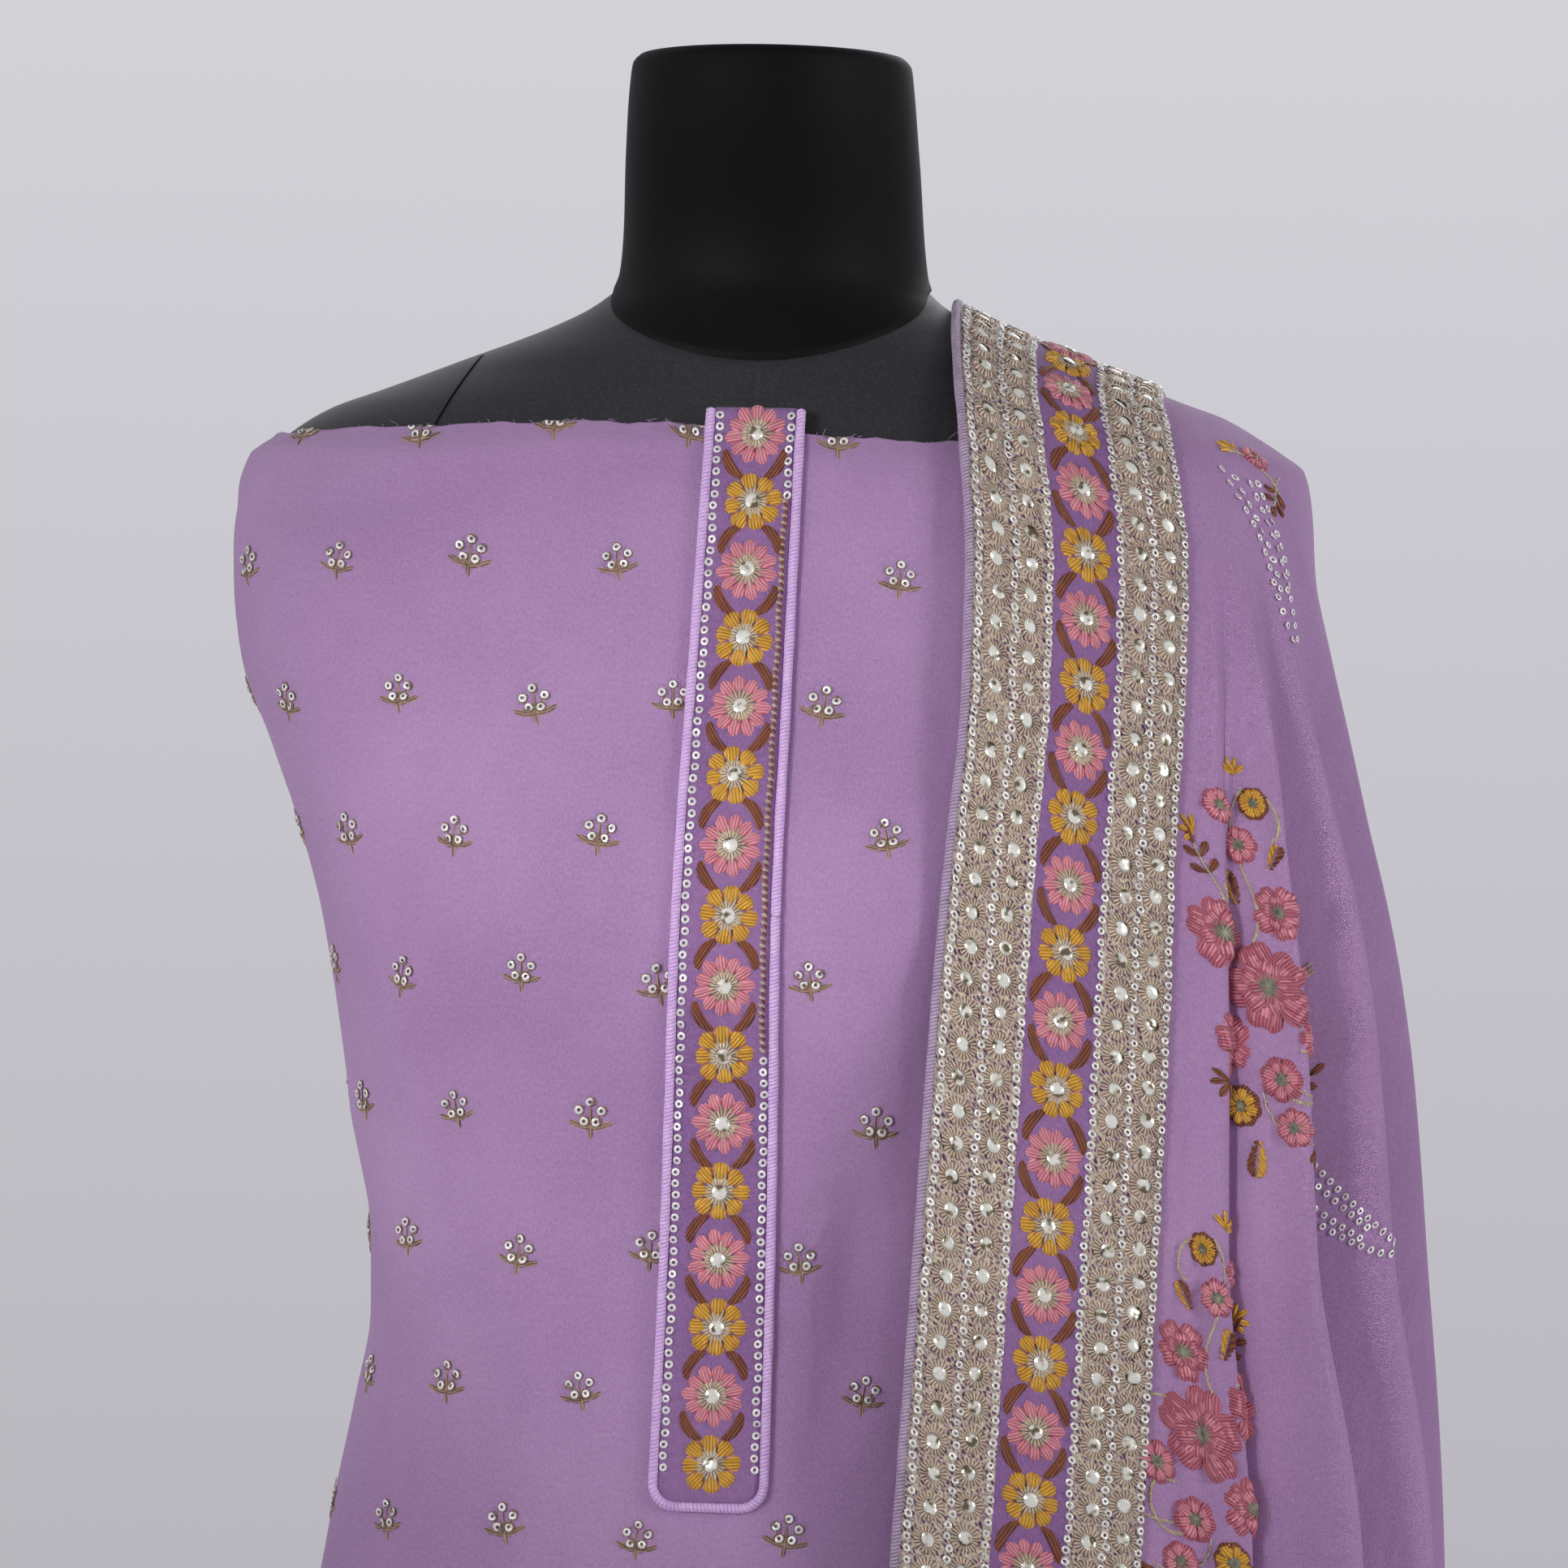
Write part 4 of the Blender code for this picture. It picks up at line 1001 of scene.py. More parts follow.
class Pile:
    """Gathers laid shapes of one look into one object."""

    def __init__(self):
        self.verts, self.faces, self.uvs, self.count = [], [], [], 0

    def lay(self, chart, shape, spots, tilt=0.0):
        """spots: rows of a, b, turn, length, width, lift. tilt is a small random slope."""
        spots = np.atleast_2d(np.asarray(spots, float))
        if not spots.size:
            return
        a, b, turn, long, wide, lift = (spots[:, k][:, None] for k in range(6))
        x = shape.flat[None, :, 0] * wide
        y = shape.flat[None, :, 1] * long
        across = a + x * np.cos(turn) - y * np.sin(turn)
        up = b + x * np.sin(turn) + y * np.cos(turn)
        slopes = RANDOM.normal(0.0, tilt, (2, len(spots), 1)) if tilt else np.zeros((2, 1, 1))
        height = shape.flat[None, :, 2] * np.minimum(long, np.abs(wide)) + lift + x * slopes[0] + y * slopes[1]
        placed = chart.place(across, up, height)
        start = self.count + np.arange(len(spots))[:, None, None] * len(shape.flat)
        self.verts.append(placed.reshape(-1, 3))
        self.faces.append((shape.faces[None] + start).reshape(-1, 4))
        uv = np.stack([shape.uv[None, :, 0] * wide + a * 3.0, shape.uv[None, :, 1] * long + b], -1)
        self.uvs.append(uv.reshape(-1, 2))
        self.count += len(spots) * len(shape.flat)

    def build(self, name, look, slot="embroidery", smooth=True):
        if not self.count:
            return None
        joined = [np.concatenate(part) for part in (self.verts, self.faces, self.uvs)]
        return mesh_object(name, joined[0], joined[1], look, smooth=smooth, uv=joined[2])


RANDOM = np.random.default_rng(11)
Shape = namedtuple("Shape", "flat faces uv")


def petal_shape(
    peak=0.5, sharp=0.6, rise=0.36, notch=0.0, groove=0.0, bend=0.0, rows=6, columns=6, strands=0.0
):
    """A raised satin petal one unit wide, from (0, 0) up to (0, 1), widest at the share peak."""
    t = np.linspace(0, 1, rows)[:, None]
    s = np.linspace(-1, 1, columns)[None, :]
    power = math.log(0.5) / math.log(peak)
    swell = np.sin(math.pi * np.clip(t, 0.015, 0.985) ** power) ** sharp
    x = s / 2 * swell + bend * 4 * t * (1 - t)
    y = t - notch * np.maximum(t - 0.75, 0) * 4 * (1 - np.abs(s)) ** 2
    high = rise * (1 - s**4) * np.sin(math.pi * np.clip(t, 0.05, 0.95)) ** 0.45
    high = high - groove * np.exp(-((s / 0.2) ** 2)) * (t > 0.05) * (t < 0.99)
    high = high + strands * np.cos(math.pi * np.arange(columns))
    high = np.where((np.abs(s) > 0.99) | (t < 0.01) | (t > 0.99), -0.06, high)
    flat = np.stack(np.broadcast_arrays(x, y, high), -1).reshape(-1, 3)
    return Shape(flat, grid_faces(rows, columns)[:, ::-1], flat[:, :2])


def ring_shape(radii, heights, sides=12, points=0, spike=0.0):
    """Rings about the middle, from outer to inner. With points, the outer rings are spiky."""
    turn = np.linspace(0, 2 * math.pi, sides + 1)
    rings = []
    for k, (radius, height) in enumerate(zip(radii, heights)):
        far = radius * (1 + spike * np.cos(points * turn)) if k < 2 else radius + 0 * turn
        rings.append(np.stack([far * np.cos(turn), far * np.sin(turn), height + 0 * turn], -1))
    flat = np.concatenate(rings)
    uv = np.stack([np.tile(turn * 1.3, len(radii)), np.hypot(flat[:, 0], flat[:, 1])], -1)
    return Shape(flat, grid_faces(len(radii), sides + 1)[:, ::-1], uv)


SEQUIN = ring_shape((1.0, 0.80, 0.42), (0.12, 0.30, 0.20), 8)
MIRROR = ring_shape((1.0, 0.62, 0.02), (0.18, 0.34, 0.37), 10)
MIRROR_RING = ring_shape((1.80, 1.42, 0.94), (-0.05, 0.36, 0.34), 22, 11, 0.10)
HEART_DISC = ring_shape((1.90, 1.66, 0.94), (0.05, 0.30, 0.36), 36, 18, 0.06)
RAY = petal_shape(0.5, 0.35, 0.45, rows=4, columns=3)
LEAF_OUT = petal_shape(0.5, 0.26, 0.20, bend=0.42, rows=9, columns=7, strands=0.012)
LEAF_IN = petal_shape(0.5, 0.26, 0.20, bend=-0.42, rows=9, columns=7, strands=0.012)
STITCH = petal_shape(0.45, 0.60, 0.30, rows=5, columns=3)
BEAD = petal_shape(0.5, 0.45, 0.40, rows=4, columns=4)
PETAL_YELLOW = petal_shape(0.68, 0.56, 0.22, notch=0.10, rows=7, columns=9, strands=0.035)
PETAL_PINK = petal_shape(0.66, 0.60, 0.24, rows=7, columns=7, strands=0.040)
ROSE_FINGER = petal_shape(0.66, 0.50, 0.30, rows=6, columns=5)
ROSE_PETAL = petal_shape(0.64, 0.42, 0.11, notch=0.12, rows=7, columns=11, strands=0.014)

LOOK_KEYS = ("yellow", "pink", "rose", "brown", "zari", "antique", "cream", "sage", "sequin", "mirror")
piles = {key: Pile() for key in LOOK_KEYS}


def flower(chart, a, b, kind, outer, turn=0.0, mirror=0.0025):
    """A flower with a mirror at its heart, seen face on. outer is its radius."""
    petals = 8 if kind == "yellow" else 11
    shape = PETAL_YELLOW if kind == "yellow" else PETAL_PINK
    inner = outer * 0.28
    wide = outer * (0.60 if kind == "yellow" else 0.44)
    spots = []
    for k in range(petals):
        t = turn + 2 * math.pi * k / petals
        long = (outer - inner) * (1 + 0.05 * math.sin(k * 2.4 + a * 500))
        spots.append(
            (a - inner * math.sin(t), b + inner * math.cos(t), t, long, wide, 0.0002 + 0.0002 * (k % 2))
        )
    piles[kind].lay(chart, shape, spots)
    rays = []
    for k in range(20):
        t = turn + 2 * math.pi * k / 20
        long = mirror * (1.55 if k % 2 else 1.10)
        rays.append((a - mirror * math.sin(t), b + mirror * math.cos(t), t, long, 0.0008, 0.0013))
    piles["cream"].lay(chart, RAY, rays)
    piles["zari"].lay(chart, HEART_DISC, [(a, b, turn, mirror, mirror, 0.0005)])
    piles["mirror"].lay(chart, MIRROR, [(a, b, turn, mirror, mirror, 0.0012)], 0.10)


def leaf_pair(chart, a, low, high, near, far, wide=0.0044):
    """Two thick leaves between flowers: near the middle line at one end, far from it at the other."""
    for s in (-1, 1):
        start = np.array([a + s * near, low])
        way = np.array([a + s * far, high]) - start
        if far < near:
            start, way = start + way, -way
        turn = math.atan2(-way[0], way[1])
        outward = s * (1 if way[1] > 0 else -1)
        shape = LEAF_OUT if outward > 0 else LEAF_IN
        piles["brown"].lay(chart, shape, [(*start, turn, float(np.hypot(*way)), wide, 0.0001)])


def local_chart(points, row, column, left, right, down, up, step, lift):
    """A chart of the sheet round one of its grid points, measured along the cloth from that point."""
    across = arc(points, 1)
    across = across - across[:, [column]]
    along_b = arc(points, 0)[:, column]
    along_b = along_b[row] - along_b
    a = np.arange(-left, right + step, step)
    b = np.arange(-down, up + step, step)
    rows = np.interp(b, along_b[::-1], np.arange(len(along_b))[::-1])
    low = np.clip(rows.astype(int), 0, len(points) - 2)
    share = (rows - low)[:, None]
    width = across[low] * (1 - share) + across[low + 1] * share
    columns = np.array([np.interp(a, w, np.arange(points.shape[1])) for w in width])
    sheet = Chart(points, np.arange(points.shape[1]), np.arange(points.shape[0]))
    normals = sheet.normals
    flat = sheet.place(columns, rows[:, None] + 0 * columns, 0 * columns)
    chart = Chart(flat, a, b)
    held = Chart(normals, np.arange(points.shape[1]), np.arange(points.shape[0]))
    held.normals = normals
    chart.normals = unit(held.place(columns, rows[:, None] + 0 * columns, 0 * columns))
    chart.points = flat + chart.normals * lift
    chart.reach = (width[:, 0], width[:, -1], b)
    return chart


def chain(path, spacing, wide, long=None):
    """Small stitches one after another along a smooth path of (x, y) points."""
    path = np.asarray(path, float)
    steps = np.concatenate([[0], np.cumsum(np.hypot(*np.diff(path, axis=0).T))])
    fine = np.linspace(0, 1, 60)
    share = steps / steps[-1]
    degree = min(3, len(path) - 1)
    x, y = (np.polyval(np.polyfit(share, path[:, k], degree), fine) for k in (0, 1))
    length = np.concatenate([[0], np.cumsum(np.hypot(np.diff(x), np.diff(y)))])
    at = np.arange(0, length[-1], spacing)
    px, py = np.interp(at, length, x), np.interp(at, length, y)
    dx, dy = np.gradient(np.interp(at, length, x)), np.gradient(np.interp(at, length, y))
    turn = np.arctan2(-dx, dy)
    long = long or spacing * 1.5
    return [(px[k], py[k], turn[k], long, wide, 0.0001 + 0.00012 * (k % 2)) for k in range(len(at))]


def stroke(x0, y0, x1, y1, wide, lift=0.0001):
    return (x0, y0, math.atan2(-(x1 - x0), y1 - y0), math.hypot(x1 - x0, y1 - y0), wide, lift)


def stamp(motif, chart, a, b, turn=0.0, size=1.0, tilt=0.0):
    """Lays a motif, a list of (look, shape, spots in millimetres), at a place on the cloth."""
    cos, sin = math.cos(turn), math.sin(turn)
    for key, shape, spots in motif:
        spots = np.array(spots, float)
        x, y = spots[:, 0] * size, spots[:, 1] * size
        laid = spots.copy()
        laid[:, 0] = a + (x * cos - y * sin) / 1000
        laid[:, 1] = b + (x * sin + y * cos) / 1000
        laid[:, 2] += turn
        laid[:, 3:5] *= size / 1000
        piles[key].lay(chart, shape, laid, tilt if key == "sequin" else 0.0)


# The placket

def placket_half(b):
    """Half the placket's width b metres under its top, with rounded lower corners."""
    half = (PLACKET_TOP_WIDTH + (PLACKET_BOTTOM_WIDTH - PLACKET_TOP_WIDTH) * b / PLACKET_LENGTH) / 2
    left = np.clip(PLACKET_CORNER - (PLACKET_LENGTH - b), 0, PLACKET_CORNER)
    return half - PLACKET_CORNER + np.sqrt(PLACKET_CORNER**2 - left**2)


def placket_chart():
    down = np.linspace(-0.001, PLACKET_LENGTH + 0.008, 210)[:, None]
    a = np.linspace(-0.026, 0.026, 27)
    z = PLACKET_TOP - down + 0 * a[None, :]
    x = PLACKET_TOP_X + (PLACKET_BOTTOM_X - PLACKET_TOP_X) * down / PLACKET_LENGTH + a[None, :]
    angle = np.full_like(z, -math.pi / 2)
    for _ in range(10):
        angle = -math.pi / 2 + np.arcsin(np.clip(x / ring_radius(KAMEEZ, z, angle), -1, 1))
    points = kameez_surface(z, angle)[::-1]
    chart = Chart(points, a, -down[::-1, 0])
    chart.normals = -chart.normals
    return chart


PLACKET = placket_chart()


def build_placket():
    b = np.concatenate(
        [
            np.linspace(0, PLACKET_LENGTH - 0.0072, 150),
            np.linspace(PLACKET_LENGTH - 0.0068, PLACKET_LENGTH, 12),
        ]
    )
    down, across = np.meshgrid(b, np.linspace(-1, 1, 15), indexing="ij")
    base = PLACKET.place(across * placket_half(down), -down, 0 * down + CLOTH / 2 + 0.0006)
    strip = cloth_object(
        "placket_ground", base, LOOKS["placket_ground"], 0.0013, offset=1.0
    )
    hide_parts("placket_strip")
    face = Chart(
        PLACKET.points + PLACKET.normals * (CLOTH / 2 + 0.0019),
        [PLACKET.a0, PLACKET.a0 + PLACKET.da],
        [PLACKET.b0, PLACKET.b0 + PLACKET.db],
    )
    face.normals = PLACKET.normals
    pitch = 0.0252
    for k in range(16):
        at = -0.0098 - k * pitch
        kind = "pink" if k % 2 == 0 else "yellow"
        side = 0.0003 * math.sin(k * 2.1) + 0.0006
        outer = 0.0113 if kind == "pink" else 0.0110
        flower(face, side, at, kind, outer, 0.2 * math.sin(k * 1.7), 0.0028)
        if k < 15:
            near, far = (0.0110, 0.0038) if kind == "pink" else (0.0038, 0.0110)
            low, other = (0.0056, 0.0086) if kind == "pink" else (0.0086, 0.0056)
            leaf_pair(face, side, at - low, at - pitch + other, near, far, 0.0042)
    spots = []
    twisted = []
    for s in (-1, 1):
        for k in range(int((PLACKET_LENGTH - 0.010) / 0.0042)):
            down = 0.003 + 0.0042 * k
            edge = float(placket_half(down)) - 0.0019
            if s > 0 and 0.036 < down < 0.235:
                continue
            spots.append((s * edge + 0.0003 * math.sin(k * 1.3), -down, k, 0.00155, 0.00155, 0.0003))
    for k in range(150):
        down = 0.034 + 0.00135 * k
        edge = float(placket_half(down)) - 0.0017
        twisted.append(
            (edge + 0.0002 * math.sin(k * 0.35), -down, 0.5 + (0.5 if k % 2 else 0), 0.0026, 0.0013, 0.0002)
        )
    piles["sequin"].lay(face, SEQUIN, spots, 0.22)
    piles["brown"].lay(face, BEAD, twisted[::2])
    piles["cream"].lay(face, BEAD, twisted[1::2])


build_placket()


# Piping round the placket and along the border

def piping(name, path, radius, look, node):
    path = np.asarray(path)
    length = arc(path[:, None], 0)[:, 0]
    count = int(length[-1] / 0.0009)
    at = np.linspace(0, length[-1], count)
    path = np.stack([np.interp(at, length, path[:, k]) for k in range(3)], -1)
    swell = 1 + 0.035 * np.sin(2 * math.pi * at / 0.0026) + 0.04 * np.sin(at * 190)
    rings = tube_mesh(path, radius * swell, 8)
    around_it = np.linspace(0, 1, 9)[None]
    uv = np.stack([at[:, None] + 0.003 * around_it, 0 * at[:, None] + 0.01 * around_it], -1)
    rings = np.concatenate([rings, rings[:, :1]], 1)
    made = mesh_object(
        name, rings.reshape(-1, 3), grid_faces(count, 9), look, uv=uv.reshape(-1, 2)
    )
    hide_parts(node)
    return made


def build_placket_piping():
    radius = 0.0018
    gap = radius - 0.0002
    down = np.linspace(0, PLACKET_LENGTH - PLACKET_CORNER, 150)
    left = np.stack([-placket_half(down) - gap, -down], -1)
    half = float(placket_half(PLACKET_LENGTH - PLACKET_CORNER))
    turn = np.linspace(0.05, math.pi / 2 - 0.05, 12)
    reach = PLACKET_CORNER + gap
    corner = np.stack(
        [
            -half + PLACKET_CORNER - reach * np.cos(turn),
            -PLACKET_LENGTH + PLACKET_CORNER - reach * np.sin(turn),
        ],
        -1,
    )
    foot = np.stack([np.linspace(corner[-1, 0] + 0.001, 0, 9), np.full(9, -PLACKET_LENGTH - gap)], -1)
    one = np.concatenate([left, corner, foot])
    path = np.concatenate([one, (one * [-1, 1])[::-1][1:]])
    placed = PLACKET.place(path[:, 0], path[:, 1], np.full(len(path), CLOTH / 2 + radius + 0.0002))
    piping("placket_edge_piping", placed, radius, LOOKS["bright_piping"], "placket_piping")


build_placket_piping()


# The border

def border_grid(lift):
    """The dupatta under the border, from the front hem up over the shoulder to the back hem."""
    front = DUPATTA[:, :BORDER_COLUMNS]
    back = DUPATTA[:, -BORDER_COLUMNS:][:, ::-1]
    strip = np.concatenate([front[::-1], back[1:]])
    normals = -grid_normals(strip)
    return strip + normals * lift, normals


# Lines of work across the border: kind and share of its width
BorderWork = namedtuple("BorderWork", "kind share")
BORDER_WORK = [
    BorderWork("sequin", 0.028),
    BorderWork("mirror", 0.113),
    BorderWork("sequin", 0.197),
    BorderWork("mirror", 0.269),
    BorderWork("sequin", 0.357),
    BorderWork("flower", 0.530),
    BorderWork("sequin", 0.688),
    BorderWork("mirror", 0.776),
    BorderWork("sequin", 0.837),
    BorderWork("mirror", 0.916),
    BorderWork("sequin", 0.984),
]
PLAIN_FROM = 6
PLAIN_TO = 11


def build_border():
    grid, _ = border_grid(CLOTH / 2 + 0.0006)
    grid = grid[::-1]
    made = cloth_object("border_ground", grid, LOOKS["net"], 0.0013, offset=1.0)
    # The plain strip under the flower row takes the darker placket-ground colour: partly the ground cloth's
    # own colour, partly painted shade between the raised flowers
    made.data.materials.append(LOOKS["placket_ground"])
    column = np.tile(np.arange(BORDER_COLUMNS - 1), len(grid) - 1)
    plain = (column >= PLAIN_FROM) & (column < PLAIN_TO)
    made.data.polygons.foreach_set("material_index", plain.astype(np.int32))
    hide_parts("dupatta_border")
    length = arc(grid, 0).mean(axis=1)
    width = float(arc(grid, 1)[:, -1].mean())
    face, _ = border_grid(CLOTH / 2 + 0.0019)
    length = arc(face, 0).mean(axis=1)
    total = float(length[-1])
    even = np.linspace(0, total, int(total / 0.003))
    rows = np.stack(
        [[np.interp(even, length, face[:, j, k]) for k in range(3)] for j in range(face.shape[1])]
    )
    chart = Chart(rows.transpose(2, 0, 1), np.linspace(0, width, face.shape[1]), even)
    chart.normals = -chart.normals
    sequins, rings = [], []
    for n, (kind, share) in enumerate(BORDER_WORK):
        if kind == "sequin":
            for k in range(int((total - 0.006) / 0.0041)):
                wander = 0.0004 * math.sin(k * 0.9 + n * 3.1)
                if n in (2, 8) and k % 3 == 1:
                    wander += 0.0010
                size = 0.00150 + 0.00008 * math.sin(k * 5.1 + n)
                sequins.append((share * width + wander, 0.003 + 0.0041 * k, k * 1.3, size, size, 0.0004))
        if kind == "mirror":
            pitch = 0.0118
            for k in range(int((total - 0.012) / pitch)):
                b = 0.006 + pitch * k + (0.0038 if n in (3, 9) else 0.0)
                size = 0.0029 + 0.0001 * math.sin(k * 3.3 + n)
                rings.append(
                    (share * width + 0.0004 * math.sin(k * 2.3 + n), b, k * 0.7, size, size, 0.0002)
                )
    piles["sequin"].lay(chart, SEQUIN, sequins, 0.25)
    piles["zari"].lay(chart, MIRROR_RING, rings)
    piles["mirror"].lay(chart, MIRROR, rings, 0.12)
    pitch = 0.0248
    middle = 0.530 * width
    for k in range(int((total - 0.020) / pitch)):
        at = 0.014 + pitch * k
        kind = "yellow" if k % 2 == 0 else "pink"
        side = middle + 0.0003 * math.sin(k * 1.9)
        flower(
            chart, side, at, kind, 0.0106 if kind == "yellow" else 0.0109, 0.25 * math.sin(k * 1.3), 0.0027
        )
        near, far = (0.0040, 0.0112) if kind == "yellow" else (0.0112, 0.0040)
        low, other = (0.0086, 0.0036) if kind == "yellow" else (0.0036, 0.0086)
        leaf_pair(chart, side, at + low, at + pitch - other, near, far, 0.0042)
    return grid


def build_border_piping(grid):
    inward = unit(grid[:, 0] - grid[:, 1])
    path = grid[:, 0] + inward * 0.0014
    piping("border_edge_piping", path, 0.0019, LOOKS["dull_piping"], "dupatta_piping")


build_border_piping(build_border())


# Small sequin sprigs all over the kameez

def sprig_motif():
    places = [(0.0, 5.6), (-3.9, 2.7), (3.9, 2.7), (-2.1, -1.1), (2.1, -1.1)]
    sequins = [(x, y, 0, 1.6, 1.6, 0.0004) for x, y in places]
    rings = [(x, y, 0, 1.9, 1.9, 0.0001) for x, y in places]
    stems = [stroke(0, -3.2, x * 0.85, y - 1.0, 1.0) for x, y in places]
    leaves = [
        stroke(0.0, -3.4, 4.0, -3.0, 2.2),
        stroke(3.0, -3.2, 7.8, -1.2, 2.1),
        stroke(0.0, -3.4, -4.0, -3.0, 2.2),
        stroke(-3.0, -3.2, -7.8, -1.2, 2.1),
        stroke(0.4, -3.2, 3.6, -1.0, 1.6),
        stroke(-0.4, -3.2, -3.6, -1.0, 1.6),
        stroke(0.0, -2.6, 0.3, -7.4, 1.7),
    ]
    return [("sequin", SEQUIN, sequins), ("antique", SEQUIN, rings), ("antique", STITCH, stems + leaves)]


SPRIG = sprig_motif()


def sew_sprigs():
    column = int(np.argmin(KAMEEZ_GRID[0, :, 1]))
    chart = local_chart(KAMEEZ_GRID, 0, column, 0.60, 0.62, 1.02, 0.0, 0.003, CLOTH / 2 + 0.0001)
    left, right, levels = chart.reach
    for n in range(20):
        down = 0.0005 + 0.0515 * n
        row = int(np.argmin(np.abs(levels + down)))
        for k in range(-11, 12):
            a = (k + (0.5 if n % 2 == 0 else 0.0)) * 0.0540 + 0.0025 - 0.010 * down / 0.4
            a += 0.0016 * math.sin(n * 3.1 + k * 1.9)
            b = -down + 0.0018 * math.sin(n * 1.7 + k * 2.7)
            z = 1.344 - down
            behind = 0.062 < a < 0.42 and z > 0.46
            inside = left[row] + 0.012 < a < right[row] - 0.012
            if not inside or behind or abs(a - 0.002 + 0.008 * down / 0.4) < 0.018 and down < 0.40:
                continue
            turn = 0.16 * math.sin(n * 2.2 + k * 1.4)
            stamp(SPRIG, chart, a, b, turn, 1.06 + 0.05 * math.sin(k * 2.9 + n), 0.2)


sew_sprigs()


# Floral sprays on the dupatta, in a layout of their own

def small_flower(look, petals, outer, centre):
    spots = []
    for k in range(petals):
        t = 2 * math.pi * (k + 0.3) / petals
        spots.append(
            (-1.4 * math.sin(t), 1.4 * math.cos(t), t, outer - 1.4, outer * 0.76, 0.0004 + 0.0002 * (k % 2))
        )
    rays = []
    for k in range(16):
        t = 2 * math.pi * k / 16
        rays.append((0, 0, t, outer * (0.56 if k % 2 else 0.46), 0.55, 0.0011 + 0.0001 * (k % 2)))
    # Darker copies under the petals show as rims round them: partly the darker outline thread, partly painted
    # shade at the petal edges
    under = [(x, y, t, long + 0.7, wide + 0.9, 0.0) for x, y, t, long, wide, _ in spots]
    return [
        ("rose" if look == "pink" else "brown", ROSE_FINGER, under),
        (look, ROSE_FINGER, spots),
        (centre, STITCH, rays),
    ]


def rose_flower(outer):
    """A big flower in layers: each light petal lies on a darker one that shows as its outline, partly the
    darker thread of the embroidery and partly painted shade between the petals.
    """
    layers = []
    for look, reach, wide, lift, shift in ROSE_LAYERS:
        spots = []
        for k in range(5):
            t = 2 * math.pi * (k + shift) / 5
            long = outer * reach * (1 + 0.06 * math.sin(k * 2.7))
            spots.append(
                (-0.8 * math.sin(t), 0.8 * math.cos(t), t, long, outer * wide, lift + 0.0001 * (k % 2))
            )
        layers.append((look, ROSE_PETAL, spots))
    rays = [(0, 0, 2 * math.pi * k / 18, outer * (0.34 if k % 2 else 0.25), 0.7, 0.0026) for k in range(18)]
    return layers + [("sage", STITCH, rays)]


def bud(cup):
    fingers = [(0.6 * k, 3.4, -0.16 * k, 6.2, 2.2, 0.0006 + 0.0002 * (k % 2)) for k in (-1, 0, 1)]
    tips = [(1.0 * k, 8.6, -0.30 * k, 3.2, 0.8, 0.0009) for k in (-1, 0, 1)]
    cups = [
        (-0.2, 0, 0.42, 5.4, 2.8, 0.0003), (0.2, 0, -0.42, 5.4, 2.8, 0.0004), (0, -0.2, 0, 4.4, 2.6, 0.0006)
    ]
    return [("pink", ROSE_FINGER, fingers), ("cream", STITCH, tips), (cup, ROSE_FINGER, cups)]


def leafy_sprig(look, pairs, long, wide):
    leaves = [(0, pairs * 5.2, 0, long * 1.1, wide, 0.0003)]
    for k in range(pairs):
        for s in (-1, 1):
            leaves.append(
                (0.3 * s, 1.5 + 5.2 * k, -s * (0.95 - 0.12 * k), long, wide, 0.0003 + 0.0001 * (k % 2))
            )
    return [
        (look, ROSE_FINGER, leaves),
        ("cream", BEAD, chain([(0, -9), (0.6, -2), (0, 4), (0, pairs * 5.2)], 1.3, 1.0)),
    ]


def open_leaves(look, long):
    spots = [(0, 0, t, long * (1 - 0.16 * abs(t)), 2.4, 0.0003) for t in (-1.1, -0.4, 0.35, 1.05)]
    return [(look, ROSE_FINGER, spots)]


def shaded_leaf():
    """A leaf of two halves of slanting stitches, brown on one side and yellow on the other."""
    brown, yellow = [], []
    for k in range(8):
        y = 1.3 * k
        long = 3.9 * math.sin(math.pi * (k + 1.2) / 9.5)
        brown.append((0.1, y, -0.75, long, 1.2, 0.0003 + 0.0002 * (k % 2)))
        yellow.append((-0.1, y, 0.75, long, 1.2, 0.0003 + 0.0002 * (k % 2)))
    return [("brown", ROSE_FINGER, brown), ("yellow", ROSE_FINGER, yellow)]


Layer = namedtuple("Layer", "look reach wide lift shift")
# The deep rose layers show between the pink ones: partly the darker thread, partly painted shade between
# petals
ROSE_LAYERS = [
    Layer("rose", 1.00, 0.94, 0.0001, 0.15),
    Layer("pink", 0.92, 0.78, 0.0004, 0.15),
    Layer("rose", 0.66, 0.70, 0.0010, 0.65),
    Layer("pink", 0.58, 0.54, 0.0013, 0.65),
    Layer("rose", 0.38, 0.40, 0.0018, 0.25),
]
Bloom = namedtuple("Bloom", "motif x y turn size")
ROSE = rose_flower(15.0)
PINK_SMALL = small_flower("pink", 7, 7.2, "sage")
YELLOW_SMALL = small_flower("yellow", 8, 7.4, "sage")
BROWN_BUD = bud("brown")
YELLOW_BUD = bud("yellow")
BROWN_SPRIG = leafy_sprig("brown", 2, 6.2, 2.8)
SHADED_LEAF = shaded_leaf()
YELLOW_LEAVES = open_leaves("yellow", 7.5)
BROWN_LEAVES = open_leaves("brown", 8.5)
